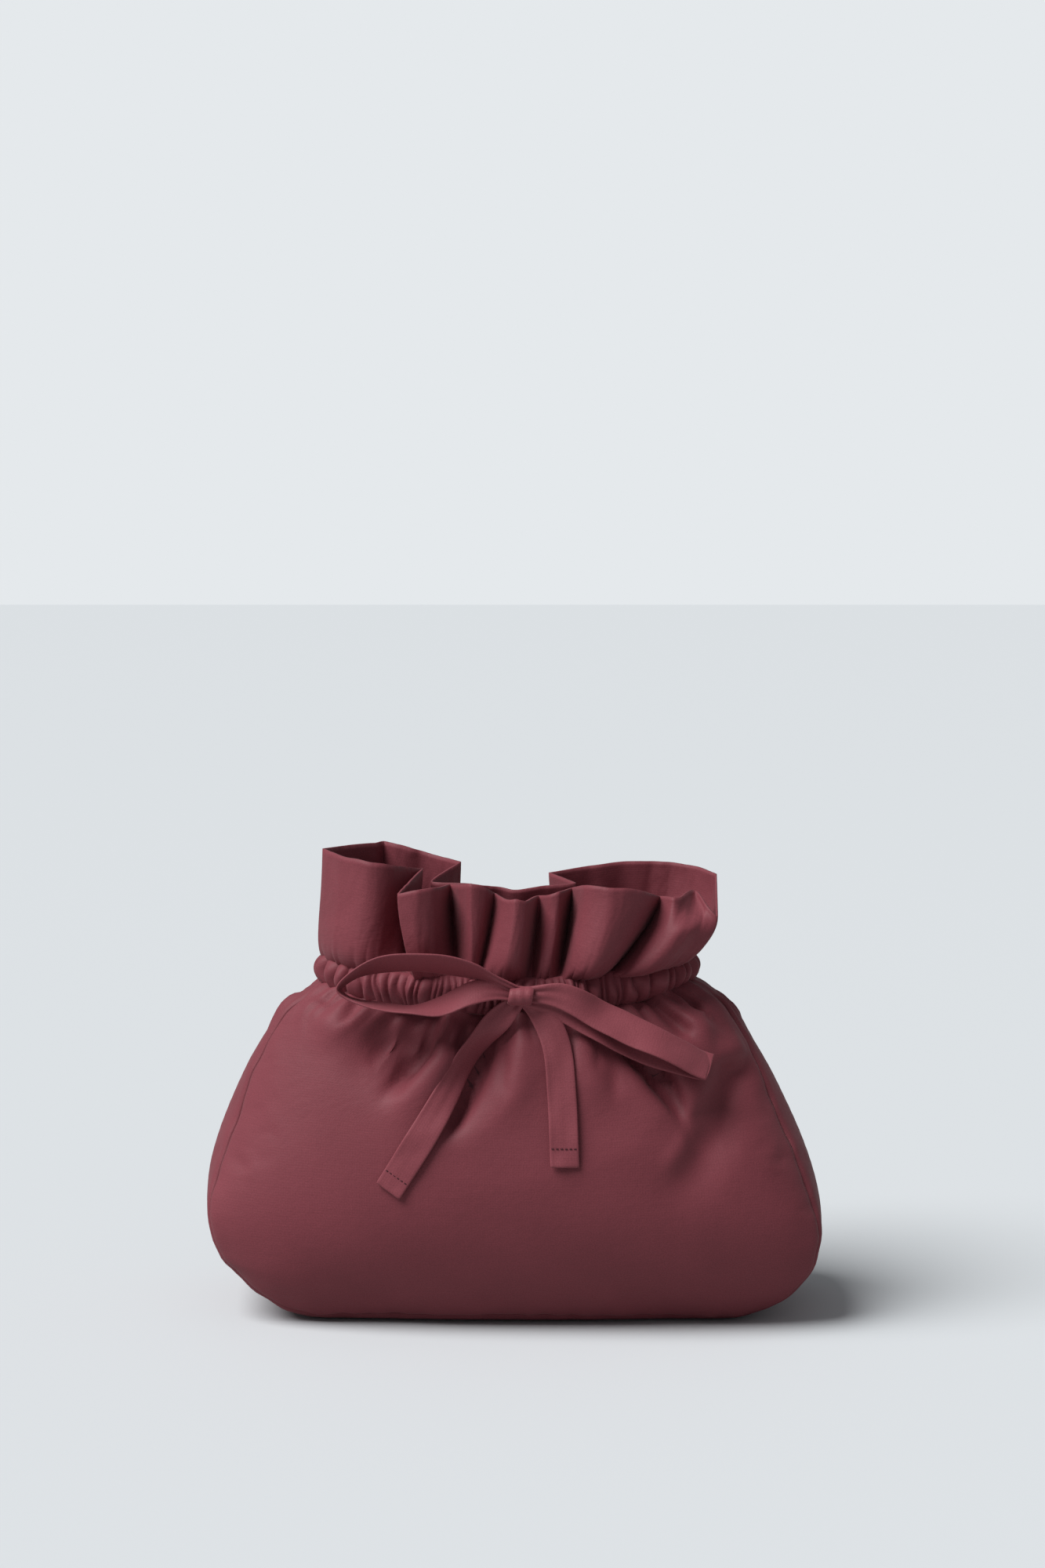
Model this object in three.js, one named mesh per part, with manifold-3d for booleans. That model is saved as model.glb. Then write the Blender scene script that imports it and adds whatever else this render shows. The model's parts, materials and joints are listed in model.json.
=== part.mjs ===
// A soft gathered cosmetic pouch. Padded front and back panels are joined by one gusset strip that runs
// down the left side, under the base and up the right side, and a lining of the same three shapes hangs
// inside. A ruched casing with a flat elastic gathers the neck, a double frill stands above it, and a
// ribbon is tied in a bow at the centre front.
// Millimetres, +Z up, the front faces -Y, and the origin is the middle of the flat base.
import * as THREE from "three";
import { mergeVertices } from "three/addons/utils/BufferGeometryUtils.js";
import Module from "manifold-3d";

// Body
const BODY_WIDTH = 240; // across the fullest part, over both sides of the gusset
const BODY_DEPTH = 108; // front to back at the fullest part
const BODY_HEIGHT = 124; // from the base to the neck seam
const FULLEST_HEIGHT = 42; // height of the fullest part
const BASE_SEAM = 152; // straight length of the seam along the base
const BASE_DEPTH = 76; // gusset width under the base
const SIDE_PUFF = 4; // how far the gusset stands out beyond its seams
const PANEL_THICKNESS = 3; // shell cloth and wadding together
const LINING_THICKNESS = 0.8;
const SEAM_GAP = 0.3; // clearance between neighbouring pieces

// Neck
const NECK_WIDTH = 146; // outer face of the panels at the neck seam
const NECK_SHIFT = -2.6; // the neck leans a little to the left of the base
const NECK_DEPTH = 72;
const NECK_GUSSET = 20; // gusset width left at the neck
const NECK_SADDLE = 4; // how much higher the neck stands at its two ends than in the middle

// Casing and elastic
const CASING_HEIGHT = 14.5;
const CASING_CLOTH = 1.2;
const CASING_PUFF = 3.6; // how far the ruching stands out from the neck line
const CASING_INSET = 4.4; // how far the inner wall lies inside the neck line
const RUCHE_COUNT = 48;
const RUCHE_DEPTH = 1.2;
const ELASTIC_WIDTH = 9;
const ELASTIC_THICKNESS = 1.4;

// Frill
const FRILL_HEIGHT = 42; // casing to rim at the tallest ear
const FRILL_CLOTH = 1.2; // two layers, folded at the rim
const FRILL_INSET = 2; // how far the foot of the frill lies inside the neck line

// Ribbon
const RIBBON_WIDTH = 14;
const RIBBON_CLOTH = 1.2;
const KNOT_WIDTH = 12;
const KNOT_HEIGHT = 10;
const KNOT_DEPTH = 9;
const KNOT_SIDE = 3; // the knot lies a little to the right of the middle
const TAIL_WIDTH = 11; // the tails curl at their edges and lie narrower
const RIBBON_LIFT = 1.6; // middle of a tail above the panel it lies on
const LOOP_SPREAD = 3.6; // between the two layers of the folded right loop

// Fineness of the sewn surfaces
const CORNER_STEPS = 5;
const SHOULDER_STEPS = 7;
const ACROSS_STEPS = 14;
const BASE_STEPS = 6;
const GUSSET_STEPS = 4;
const FRILL_STEPS = 64;
const FRILL_ROWS = 5;
const RIBBON_STEPS = 5; // per stretch between two guide points

// Colours read from the photograph
const WINE = 0x74404a;
const WINE_LINING = 0x5e3139;
const ELASTIC_WHITE = 0xe6e2dc;

const wasm = await Module();
wasm.setup();
const { Manifold, Mesh: SolidMesh } = wasm;

const TOP = new THREE.Vector3(0, 0, 1);

function lerp(from, to, share) {
  return from + (to - from) * share;
}

// Half outline of a panel, from the end of the base seam up round the corner to the neck
const fullestHalf = BODY_WIDTH / 2 - SIDE_PUFF;
const neckPuff =
  NECK_WIDTH / 2 - (NECK_WIDTH / 2) * Math.sqrt(1 - (NECK_GUSSET / NECK_DEPTH) ** 2);
const neckHalf = NECK_WIDTH / 2 - neckPuff;
const CORNER_ROUNDNESS = 0.5;
const SHOULDER_ROUNDNESS = { rise: 0.32, width: 0.66, height: 0.77 };

const cornerCurve = new THREE.CubicBezierCurve(
  new THREE.Vector2(BASE_SEAM / 2, 0),
  new THREE.Vector2(lerp(BASE_SEAM / 2, fullestHalf, CORNER_ROUNDNESS), 0),
  new THREE.Vector2(fullestHalf, FULLEST_HEIGHT * CORNER_ROUNDNESS),
  new THREE.Vector2(fullestHalf, FULLEST_HEIGHT),
);
const shoulderCurve = new THREE.CubicBezierCurve(
  new THREE.Vector2(fullestHalf, FULLEST_HEIGHT),
  new THREE.Vector2(fullestHalf, lerp(FULLEST_HEIGHT, BODY_HEIGHT, SHOULDER_ROUNDNESS.rise)),
  new THREE.Vector2(
    lerp(neckHalf, fullestHalf, SHOULDER_ROUNDNESS.width),
    lerp(FULLEST_HEIGHT, BODY_HEIGHT, SHOULDER_ROUNDNESS.height),
  ),
  new THREE.Vector2(neckHalf, BODY_HEIGHT),
);

// A point of the half outline, moved inwards by the given depth, with the direction in which the gusset
// puffs out there: square to the seam at the base and level at the neck
function outlinePoint(curve, share, depth) {
  const at = curve.getPoint(share);
  const along = curve.getTangent(share);
  return {
    x: at.x - along.y * depth,
    z: at.y + along.x * depth,
    height: at.y,
    normal: new THREE.Vector2(along.y, -along.x * (1 - neckShare(at.y))),
  };
}

function outlineRows(depth) {
  const rows = [];
  for (let i = 0; i < CORNER_STEPS; i++) {
    rows.push(outlinePoint(cornerCurve, i / CORNER_STEPS, depth));
  }
  for (let i = 0; i <= SHOULDER_STEPS; i++) {
    rows.push(outlinePoint(shoulderCurve, i / SHOULDER_STEPS, depth));
  }
  return rows;
}

// How far a height lies on the way from the fullest part up to the neck
function neckShare(height) {
  return Math.max(0, (height - FULLEST_HEIGHT) / (BODY_HEIGHT - FULLEST_HEIGHT));
}

function gussetHalf(height) {
  return lerp(BASE_DEPTH / 2, NECK_GUSSET / 2, neckShare(height));
}

// Half depth of the body in its middle plane
const SWELL_POWER = 0.7;
const TAPER_POWER = 1.6;
function depthHalf(height) {
  if (height < FULLEST_HEIGHT) {
    const swell = Math.sin((Math.PI / 2) * (height / FULLEST_HEIGHT) ** SWELL_POWER);
    return lerp(BASE_DEPTH / 2, BODY_DEPTH / 2, swell);
  }
  return lerp(BODY_DEPTH / 2, NECK_DEPTH / 2, neckShare(height) ** TAPER_POWER);
}

// Cushion shape of a panel across its width: 1 in the middle, 0 at its seams
const NECK_CUSHION = 2.2;
const BODY_CUSHION = 3;
const CUSHION_EDGE = 0.7;
function cushion(share, height) {
  const power = lerp(BODY_CUSHION, NECK_CUSHION, neckShare(height));
  return Math.max(0, 1 - Math.abs(share) ** power) ** CUSHION_EDGE;
}

// Rise of the neck at a distance from its middle
function saddle(x) {
  return NECK_SADDLE * ((x / (NECK_WIDTH / 2)) ** 2 - 0.5);
}

// A point of the body, leaning and rising with the neck the higher it lies
const LEAN_POWER = 3;
function bodyVector(x, y, z) {
  const share = (z / BODY_HEIGHT) ** LEAN_POWER;
  return new THREE.Vector3(x + NECK_SHIFT * share, y, z + saddle(x) * share);
}

// Closed solid of a sheet between an outer and an inner grid of points
function sheetSolid(outer, inner, isRing = false) {
  const positions = [];
  const quad = (a, b, c, d) => {
    for (const p of [a, b, c, a, c, d]) {
      positions.push(p.x, p.y, p.z);
    }
  };
  const rows = outer.length;
  const columns = outer[0].length;
  const lastColumn = isRing ? columns : columns - 1;
  for (let c = 0; c < lastColumn; c++) {
    const n = (c + 1) % columns;
    for (let r = 0; r < rows - 1; r++) {
      quad(outer[r][c], outer[r][n], outer[r + 1][n], outer[r + 1][c]);
      quad(inner[r][c], inner[r + 1][c], inner[r + 1][n], inner[r][n]);
    }
    quad(inner[0][c], inner[0][n], outer[0][n], outer[0][c]);
    quad(outer[rows - 1][c], outer[rows - 1][n], inner[rows - 1][n], inner[rows - 1][c]);
  }
  if (!isRing) {
    const e = columns - 1;
    for (let r = 0; r < rows - 1; r++) {
      quad(inner[r][0], outer[r][0], outer[r + 1][0], inner[r + 1][0]);
      quad(outer[r][e], inner[r][e], inner[r + 1][e], outer[r + 1][e]);
    }
  }
  return facingOut(positions);
}

// Geometry of a triangle soup, turned round where its faces point inwards
function facingOut(positions) {
  let volume = 0;
  const [a, b, c] = [new THREE.Vector3(), new THREE.Vector3(), new THREE.Vector3()];
  for (let i = 0; i < positions.length; i += 9) {
    a.fromArray(positions, i);
    b.fromArray(positions, i + 3);
    c.fromArray(positions, i + 6);
    volume += a.dot(b.cross(c));
  }
  if (volume < 0) {
    for (let i = 0; i < positions.length; i += 9) {
      for (let k = 0; k < 3; k++) {
        [positions[i + 3 + k], positions[i + 6 + k]] = [positions[i + 6 + k], positions[i + 3 + k]];
      }
    }
  }
  const geometry = new THREE.BufferGeometry();
  geometry.setAttribute("position", new THREE.Float32BufferAttribute(positions, 3));
  return geometry;
}

// Face of a panel at a depth under the shell, for the front (-1) or the back (+1)
function panelFace(side, depth) {
  return outlineRows(depth).map((row) => {
    const line = [];
    const half = row.x - SEAM_GAP;
    const seam = gussetHalf(row.height) - depth;
    const swell = depthHalf(row.height) - gussetHalf(row.height);
    for (let i = 0; i <= ACROSS_STEPS; i++) {
      const share = Math.sin((Math.PI / 2) * (2 * (i / ACROSS_STEPS) - 1));
      const y = seam + SEAM_GAP + swell * cushion(share, row.height);
      line.push(bodyVector(half * share, side * y, row.z));
    }
    return line;
  });
}

// Face of the gusset strip at a depth under the shell, from the left neck round the base to the right neck
function gussetFace(depth) {
  const right = outlineRows(depth);
  const strip = [];
  const addLine = (x, z, normal, height, puff) => {
    const half = gussetHalf(height) - depth;
    const line = [];
    for (let i = 0; i <= GUSSET_STEPS; i++) {
      const share = 2 * (i / GUSSET_STEPS) - 1;
      const out = puff * (1 - share * share);
      line.push(bodyVector(x + normal.x * out, half * share, z + normal.y * out));
    }
    strip.push(line);
  };
  const puffAt = (height) => {
    if (height < FULLEST_HEIGHT) {
      return SIDE_PUFF * (height / FULLEST_HEIGHT);
    }
    return lerp(SIDE_PUFF, neckPuff, neckShare(height));
  };
  for (const row of [...right].reverse()) {
    addLine(-row.x, row.z, new THREE.Vector2(-row.normal.x, row.normal.y), row.height, puffAt(row.height));
  }
  const foot = right[0];
  for (let i = 1; i < BASE_STEPS; i++) {
    addLine(lerp(-foot.x, foot.x, i / BASE_STEPS), foot.z, foot.normal, foot.height, 0);
  }
  for (const row of right) {
    addLine(row.x, row.z, row.normal, row.height, puffAt(row.height));
  }
  return strip;
}

function panelSolid(side, depth, thickness) {
  return sheetSolid(panelFace(side, depth), panelFace(side, depth + thickness));
}

function gussetSolid(depth, thickness) {
  return sheetSolid(gussetFace(depth), gussetFace(depth + thickness));
}

// A point of the neck oval with its outward direction
function neckPoint(angle, offset) {
  const a = NECK_WIDTH / 2;
  const b = NECK_DEPTH / 2;
  const normal = new THREE.Vector2(b * Math.cos(angle), a * Math.sin(angle)).normalize();
  return new THREE.Vector2(a * Math.cos(angle), b * Math.sin(angle)).addScaledVector(normal, offset);
}

// Solid ring round the neck with a closed section of [offset, height] points for each angle
function neckRing(columns, sectionAt, foot) {
  const rings = [];
  for (let c = 0; c < columns; c++) {
    const angle = (2 * Math.PI * c) / columns;
    const ring = sectionAt(c).map(([offset, height]) => {
      const at = neckPoint(angle, offset);
      return new THREE.Vector3(at.x + NECK_SHIFT, at.y, foot + height + saddle(at.x));
    });
    rings.push(ring);
  }
  const positions = [];
  const sides = rings[0].length;
  for (let c = 0; c < columns; c++) {
    const here = rings[c];
    const next = rings[(c + 1) % columns];
    for (let s = 0; s < sides; s++) {
      const t = (s + 1) % sides;
      for (const p of [here[s], next[s], next[t], here[s], next[t], here[t]]) {
        positions.push(p.x, p.y, p.z);
      }
    }
  }
  return facingOut(positions);
}

// Casing: a strip folded over at its top, ruched on the outside, open below where it meets the neck seam
const casingFoot = BODY_HEIGHT + SEAM_GAP;
const TOP_TUCK = 0.86; // height share where the ruching turns in to the top stitching
function casingSection(column) {
  const isRidge = column % 2 === 0;
  const puff = isRidge ? CASING_PUFF : CASING_PUFF - RUCHE_DEPTH;
  const cloth = CASING_CLOTH;
  const tuck = CASING_HEIGHT * TOP_TUCK;
  return [
    [0, 0],
    [puff, CASING_HEIGHT / 2],
    [puff / 2, tuck],
    [-cloth, CASING_HEIGHT],
    [-CASING_INSET, CASING_HEIGHT],
    [-CASING_INSET, 0],
    [cloth - CASING_INSET, 0],
    [cloth - CASING_INSET, CASING_HEIGHT - cloth],
    [-cloth, CASING_HEIGHT - cloth],
    [puff / 2 - cloth, tuck - cloth],
    [puff - cloth, CASING_HEIGHT / 2],
    [-cloth, 0],
  ];
}

function elasticSection() {
  const inner = CASING_CLOTH - CASING_INSET + SEAM_GAP;
  const low = (CASING_HEIGHT - CASING_CLOTH - ELASTIC_WIDTH) / 2;
  return [
    [inner, low],
    [inner, low + ELASTIC_WIDTH],
    [inner + ELASTIC_THICKNESS, low + ELASTIC_WIDTH],
    [inner + ELASTIC_THICKNESS, low],
  ];
}

// Rim of the frill seen from above: shares of half the neck width and depth from the middle of the neck,
// and the drop below the tallest ear
const FRONT_RIM = [
  [-0.98, -0.015, 0],
  [-0.79, -0.55, 2],
  [-0.62, -0.72, 4],
  [-0.44, -0.3, 7],
  [-0.53, -1.02, 14],
  [-0.35, -0.84, 12],
  [-0.19, -0.64, 11],
  [0.03, -0.72, 16],
  [0.21, -0.64, 14],
  [0.4, -0.56, 12],
  [0.6, -0.68, 10],
  [0.81, -0.76, 15],
  [0.89, -0.42, 16],
  [0.99, -0.36, 16],
  [1.1, -0.6, 23],
  [1.13, 0.12, 13],
];
const BACK_RIM = [
  [-0.98, 0.025, 0],
  [-0.85, 0.42, 1],
  [-0.69, 0.8, 1],
  [-0.48, 0.68, 4],
  [-0.26, 0.38, 8],
  [-0.34, -0.3, 14],
  [-0.12, -0.36, 15],
  [0.13, -0.36, 15],
  [0.33, -0.24, 14],
  [0.23, 0.4, 11],
  [0.44, 0.66, 9],
  [0.77, 0.78, 9],
  [1.04, 0.52, 9],
  [1.13, 0.135, 13],
];
const frillFoot = casingFoot + CASING_HEIGHT + SEAM_GAP;

// Middle surface of a frill half: rows from the foot on the casing up to the rim
function frillRows(rim, isFront) {
  const guide = rim.map(
    ([x, y, drop]) =>
      new THREE.Vector3(
        NECK_SHIFT + (x * NECK_WIDTH) / 2,
        (y * NECK_DEPTH) / 2,
        frillFoot + FRILL_HEIGHT - drop,
      ),
  );
  const rimPoints = new THREE.CatmullRomCurve3(guide, false, "centripetal").getSpacedPoints(FRILL_STEPS);
  const clearance = SEAM_GAP / NECK_DEPTH;
  const rows = [];
  for (let r = 0; r <= FRILL_ROWS; r++) {
    const share = r / FRILL_ROWS;
    const line = rimPoints.map((rimPoint, c) => {
      const turn = lerp(clearance, Math.PI - clearance, c / FRILL_STEPS);
      const foot = neckPoint(isFront ? Math.PI + turn : Math.PI - turn, -FRILL_INSET);
      const footZ = frillFoot + saddle(foot.x);
      return new THREE.Vector3(
        lerp(foot.x + NECK_SHIFT, rimPoint.x, share),
        lerp(foot.y, rimPoint.y, share),
        lerp(footZ, rimPoint.z, share),
      );
    });
    rows.push(line);
  }
  return rows;
}

function frillSolid(rim, isFront) {
  const middle = frillRows(rim, isFront);
  const face = (offset) =>
    middle.map((line) =>
      line.map((point, c) => {
        const before = line[Math.max(0, c - 1)];
        const after = line[Math.min(FRILL_STEPS, c + 1)];
        const across = after.clone().sub(before).cross(TOP).normalize();
        return point.clone().addScaledVector(across, offset);
      }),
    );
  return sheetSolid(face(FRILL_CLOTH / 2), face(-FRILL_CLOTH / 2));
}

// How far the front panel's outer face stands out from the middle plane at a place on it
const HALVINGS = 30;
function frontFace(x, z) {
  let low = 0;
  let high = 1;
  const curve = z < FULLEST_HEIGHT ? cornerCurve : shoulderCurve;
  for (let i = 0; i < HALVINGS; i++) {
    const middle = (low + high) / 2;
    if (curve.getPoint(middle).y < z) {
      low = middle;
    } else {
      high = middle;
    }
  }
  const half = curve.getPoint(low).x;
  const fromMiddle = Math.abs(x - NECK_SHIFT * (z / BODY_HEIGHT) ** LEAN_POWER);
  const swell = depthHalf(z) - gussetHalf(z);
  return gussetHalf(z) + SEAM_GAP + swell * cushion(Math.min(1, fromMiddle / half), z);
}

// Flat ribbon through guide points, each with the direction across the ribbon and its width there
function ribbonSolid(guides) {
  const steps = (guides.length - 1) * RIBBON_STEPS;
  const edge = (sign) =>
    new THREE.CatmullRomCurve3(
      guides.map(({ at, across, width }) =>
        at.clone().addScaledVector(across.clone().normalize(), (sign * width) / 2),
      ),
      false,
      "centripetal",
    );
  const upper = edge(1);
  const lower = edge(-1);
  const faces = [[], []];
  for (let i = 0; i <= steps; i++) {
    const t = i / steps;
    const [a, b] = [upper.getPoint(t), lower.getPoint(t)];
    const along = upper.getTangent(t).add(lower.getTangent(t));
    const normal = along.cross(a.clone().sub(b)).normalize();
    faces.forEach((face, k) => {
      const offset = (k ? -1 : 1) * (RIBBON_CLOTH / 2);
      face.push([a.clone().addScaledVector(normal, offset), b.clone().addScaledVector(normal, offset)]);
    });
  }
  return sheetSolid(faces[0], faces[1]);
}

const knot = new THREE.Vector3(
  KNOT_SIDE,
  -(NECK_DEPTH / 2 + CASING_PUFF + SEAM_GAP + KNOT_DEPTH / 2),
  casingFoot + CASING_HEIGHT / 2 - NECK_SADDLE / 2,
);

// A guide point of the bow, given from the knot
function fromKnot(x, y, z, across, width = RIBBON_WIDTH) {
  return { at: knot.clone().add(new THREE.Vector3(x, y, z)), across: new THREE.Vector3(...across), width };
}

// A guide point over the front panel, given sideways and downwards from the knot. The ribbon lies along
// the panel there, from edge to edge in the direction given as [sideways, upwards].
function onPanel(x, drop, lift, [sideways, upwards], width = RIBBON_WIDTH) {
  const [atX, atZ] = [knot.x + x, knot.z - drop];
  const reach = width / 2 / Math.hypot(sideways, upwards);
  const edgeFace = (sign) => frontFace(atX + sign * reach * sideways, atZ + sign * reach * upwards);
  const [right, left] = [edgeFace(1), edgeFace(-1)];
  const middle = Math.max(frontFace(atX, atZ), (right + left) / 2);
  const across = new THREE.Vector3(sideways, (left - right) / (2 * reach), upwards);
  return { at: new THREE.Vector3(atX, -(middle + lift), atZ), across, width };
}

const PINCHED = 6; // ribbon width inside the knot
const NARROWED = 10; // ribbon width next to the knot

function bowSolid() {
  const leftLoop = [
    fromKnot(0, 0, 1, [0, 0.5, -0.8], PINCHED),
    fromKnot(-14, -1, 10, [0, 0.8, -0.6], NARROWED),
    fromKnot(-32, -1, 13, [0, 0.8, -0.6]),
    fromKnot(-54, 0, 9, [0, 0.9, -0.4]),
    fromKnot(-69, 3, 0, [0.2, 1, 0]),
    fromKnot(-60, 1, -6, [0, 0.9, 0.4]),
    fromKnot(-38, -2, -7, [0, 0.85, 0.5]),
    fromKnot(-16, -2, -1, [0, 0.7, 0.7], NARROWED),
    fromKnot(0, 0, -1, [0, 0.3, 0.9], PINCHED),
  ];
  const upright = [0.4, 0, 0.92];
  const slanted = [0.4, 0.92];
  const near = RIBBON_LIFT + RIBBON_CLOTH;
  const rightLoop = [
    fromKnot(0, 0, 1, upright, PINCHED),
    fromKnot(16, -1, 0, upright, NARROWED),
    onPanel(34, 9, near + 2 * LOOP_SPREAD, slanted),
    onPanel(56, 19, near + 2 * LOOP_SPREAD, slanted),
    onPanel(73, 28, near + LOOP_SPREAD, slanted),
    onPanel(55, 20, near, slanted),
    onPanel(34, 11, near + LOOP_SPREAD, slanted),
    fromKnot(14, 1, -3, upright, NARROWED),
    fromKnot(0, 0, -1, upright, PINCHED),
  ];
  const leftTail = [
    fromKnot(0, 0, -1, [0.8, 0, -0.6], PINCHED),
    fromKnot(-10, 1, -11, [0.8, 0, -0.6], NARROWED),
    onPanel(-20, 24, RIBBON_LIFT, [0.85, -0.5], TAIL_WIDTH),
    onPanel(-35, 49, RIBBON_LIFT, [0.85, -0.5], TAIL_WIDTH),
    onPanel(-52, 74, RIBBON_LIFT, [0.83, -0.56], TAIL_WIDTH),
  ];
  const rightTail = [
    fromKnot(0, 0, -1, [1, 0, 0.1], PINCHED),
    fromKnot(8, 1, -8, [1, 0, 0.3], NARROWED),
    onPanel(14, 19, RIBBON_LIFT, [1, 0.2], TAIL_WIDTH),
    onPanel(16, 40, RIBBON_LIFT, [1, 0], TAIL_WIDTH),
    onPanel(17, 64, RIBBON_LIFT, [1, 0], TAIL_WIDTH),
  ];
  const knotShape = new THREE.SphereGeometry(0.5, 16, 10);
  knotShape.scale(KNOT_WIDTH, KNOT_DEPTH, KNOT_HEIGHT);
  knotShape.translate(knot.x, knot.y, knot.z);
  const strips = [leftLoop, rightLoop, leftTail, rightTail].map(ribbonSolid);
  return joined([knotShape, ...strips]);
}

// One body from several overlapping closed shapes
const WELD = 1e-4;
function joined(shapes) {
  const solids = shapes.map((shape) => {
    const bare = new THREE.BufferGeometry();
    bare.setAttribute("position", shape.getAttribute("position"));
    bare.setIndex(shape.index);
    const merged = mergeVertices(bare, WELD);
    return new Manifold(
      new SolidMesh({
        numProp: 3,
        vertProperties: merged.attributes.position.array,
        triVerts: new Uint32Array(merged.index.array),
      }),
    );
  });
  const result = Manifold.union(solids).getMesh();
  const geometry = new THREE.BufferGeometry();
  geometry.setAttribute("position", new THREE.BufferAttribute(result.vertProperties, 3));
  geometry.setIndex(new THREE.BufferAttribute(result.triVerts, 1));
  return geometry;
}

const satin = new THREE.MeshStandardMaterial({ color: WINE, roughness: 0.5, metalness: 0 });
const lining = new THREE.MeshStandardMaterial({ color: WINE_LINING, roughness: 0.7, metalness: 0 });
const elastic = new THREE.MeshStandardMaterial({ color: ELASTIC_WHITE, roughness: 0.9, metalness: 0 });

const pouch = new THREE.Group();
function add(name, geometry, material) {
  const mesh = new THREE.Mesh(geometry, material);
  mesh.name = name;
  pouch.add(mesh);
}

const liningDepth = PANEL_THICKNESS + SEAM_GAP;
add("front_panel", panelSolid(-1, 0, PANEL_THICKNESS), satin);
add("back_panel", panelSolid(1, 0, PANEL_THICKNESS), satin);
add("gusset", gussetSolid(0, PANEL_THICKNESS), satin);
add("lining_front", panelSolid(-1, liningDepth, LINING_THICKNESS), lining);
add("lining_back", panelSolid(1, liningDepth, LINING_THICKNESS), lining);
add("lining_gusset", gussetSolid(liningDepth, LINING_THICKNESS), lining);
add("neck_casing", neckRing(2 * RUCHE_COUNT, casingSection, casingFoot), satin);
add("neck_elastic", neckRing(RUCHE_COUNT, elasticSection, casingFoot), elastic);
add("front_frill", frillSolid(FRONT_RIM, true), satin);
add("back_frill", frillSolid(BACK_RIM, false), satin);
add("tie_ribbon", bowSolid(), satin);

export default pouch;
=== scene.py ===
import json
import math

import bpy
import numpy as np
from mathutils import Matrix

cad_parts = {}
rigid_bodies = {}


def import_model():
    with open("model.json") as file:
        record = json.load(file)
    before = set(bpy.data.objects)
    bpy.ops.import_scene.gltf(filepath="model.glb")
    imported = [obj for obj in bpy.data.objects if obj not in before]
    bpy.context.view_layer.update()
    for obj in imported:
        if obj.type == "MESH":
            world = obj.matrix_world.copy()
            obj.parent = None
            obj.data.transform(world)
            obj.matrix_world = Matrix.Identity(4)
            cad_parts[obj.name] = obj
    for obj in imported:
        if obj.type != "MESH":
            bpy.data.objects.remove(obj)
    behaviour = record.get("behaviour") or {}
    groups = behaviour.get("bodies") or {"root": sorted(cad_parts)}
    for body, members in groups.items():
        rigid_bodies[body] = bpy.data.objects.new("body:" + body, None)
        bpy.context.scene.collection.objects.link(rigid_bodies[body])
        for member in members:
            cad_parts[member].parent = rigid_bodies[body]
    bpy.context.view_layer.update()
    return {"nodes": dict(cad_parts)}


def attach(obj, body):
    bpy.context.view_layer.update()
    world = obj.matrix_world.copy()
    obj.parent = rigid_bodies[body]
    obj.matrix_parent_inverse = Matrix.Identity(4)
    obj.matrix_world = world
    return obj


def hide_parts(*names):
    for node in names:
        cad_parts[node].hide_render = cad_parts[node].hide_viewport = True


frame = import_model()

bl_info = {
    "name": "Gathered cosmetic pouch",
    "version": (1, 0, 0),
    "blender": (4, 5, 0),
    "location": "3D View > Sidebar > Pouch",
    "description": "Builds a padded satin pouch with a ruched neck, a standing frill and a tied bow",
    "category": "Object",
}

MM = 0.001
ROOT = "root"
UV_SCALE = 0.1  # one unit of the cloth map is 10 mm
SIM_SCALE = 10  # cloth is settled at ten times its size, where the solver's stiffness suits it
NOISE_WAVES = 14
NOISE_SPREAD = 2.2
NOISE_LEVEL = 0.9


# Sizes and colours


def linear(hex_colour):
    """An sRGB hex colour as linear red, green and blue."""
    shares = [int(hex_colour[i:i + 2], 16) / 255 for i in (1, 3, 5)]
    return tuple(v / 12.92 if v <= 0.04045 else ((v + 0.055) / 1.055) ** 2.4 for v in shares)


def length(name, description, millimetres):
    """A length property with its default in millimetres."""
    return bpy.props.FloatProperty(
        name=name, description=description, default=millimetres * MM, min=0.0, unit="LENGTH", precision=4
    )


def colour(name, description, hex_colour):
    """A colour property with its default as sRGB hex."""
    return bpy.props.FloatVectorProperty(
        name=name, description=description, default=linear(hex_colour), size=3, min=0.0, max=1.0,
        subtype="COLOR"
    )


class PouchSizes(bpy.types.PropertyGroup):
    """Sizes of the pouch that a user would change."""

    body_width: length("Body width", "Across the fullest part, over both sides of the gusset", 240)
    body_depth: length("Body depth", "Front to back at the fullest part", 108)
    body_height: length("Body height", "From the base to the neck seam", 124)
    fullest_height: length("Fullest height", "Height of the fullest part", 42)
    base_seam: length("Base seam", "Straight length of the seam along the base", 152)
    base_depth: length("Base depth", "Width of the gusset under the base", 76)
    side_puff: length("Side puff", "How far the gusset stands out beyond its seams", 1.6)
    padding: length("Padding", "Thickness of the padded panels", 2.6)
    neck_width: length("Neck width", "Outer width at the neck seam", 146)
    neck_depth: length("Neck depth", "Outer depth at the neck seam", 72)
    neck_gusset: length("Neck gusset", "Gusset width left at the neck", 14)
    neck_saddle: length("Neck saddle", "Rise of the neck at its two ends", 4)
    neck_lean: length("Neck lean", "How far the neck stands to the left of the middle", 2.6)
    casing_height: length("Casing height", "Height of the ruched casing", 14.5)
    casing_puff: length("Casing puff", "How far the casing stands out from the neck", 3.0)
    ribbon_width: length("Ribbon width", "Width of the flat ribbon", 14)


class PouchColours(bpy.types.PropertyGroup):
    """Colours of the pouch that a user would change."""

    satin: colour("Satin", "Wine red shell cloth, frill and ribbon", "#823f48")
    # The ribbon colour is a lighter copy of the satin colour: painted light for the extra light that the
    # ribbon's satin faces catch.
    ribbon: colour("Ribbon", "Wine red ribbon, a little lighter than the shell", "#8d4750")
    lining: colour("Lining", "Lining cloth", "#5e3139")
    elastic: colour("Elastic", "Flat elastic inside the casing", "#e6e2dc")
    floor: colour("Floor", "Pale floor", "#dfe3e6")
    backdrop: colour("Backdrop", "Pale surroundings", "#e5e9ec")


# Meshes


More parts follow.
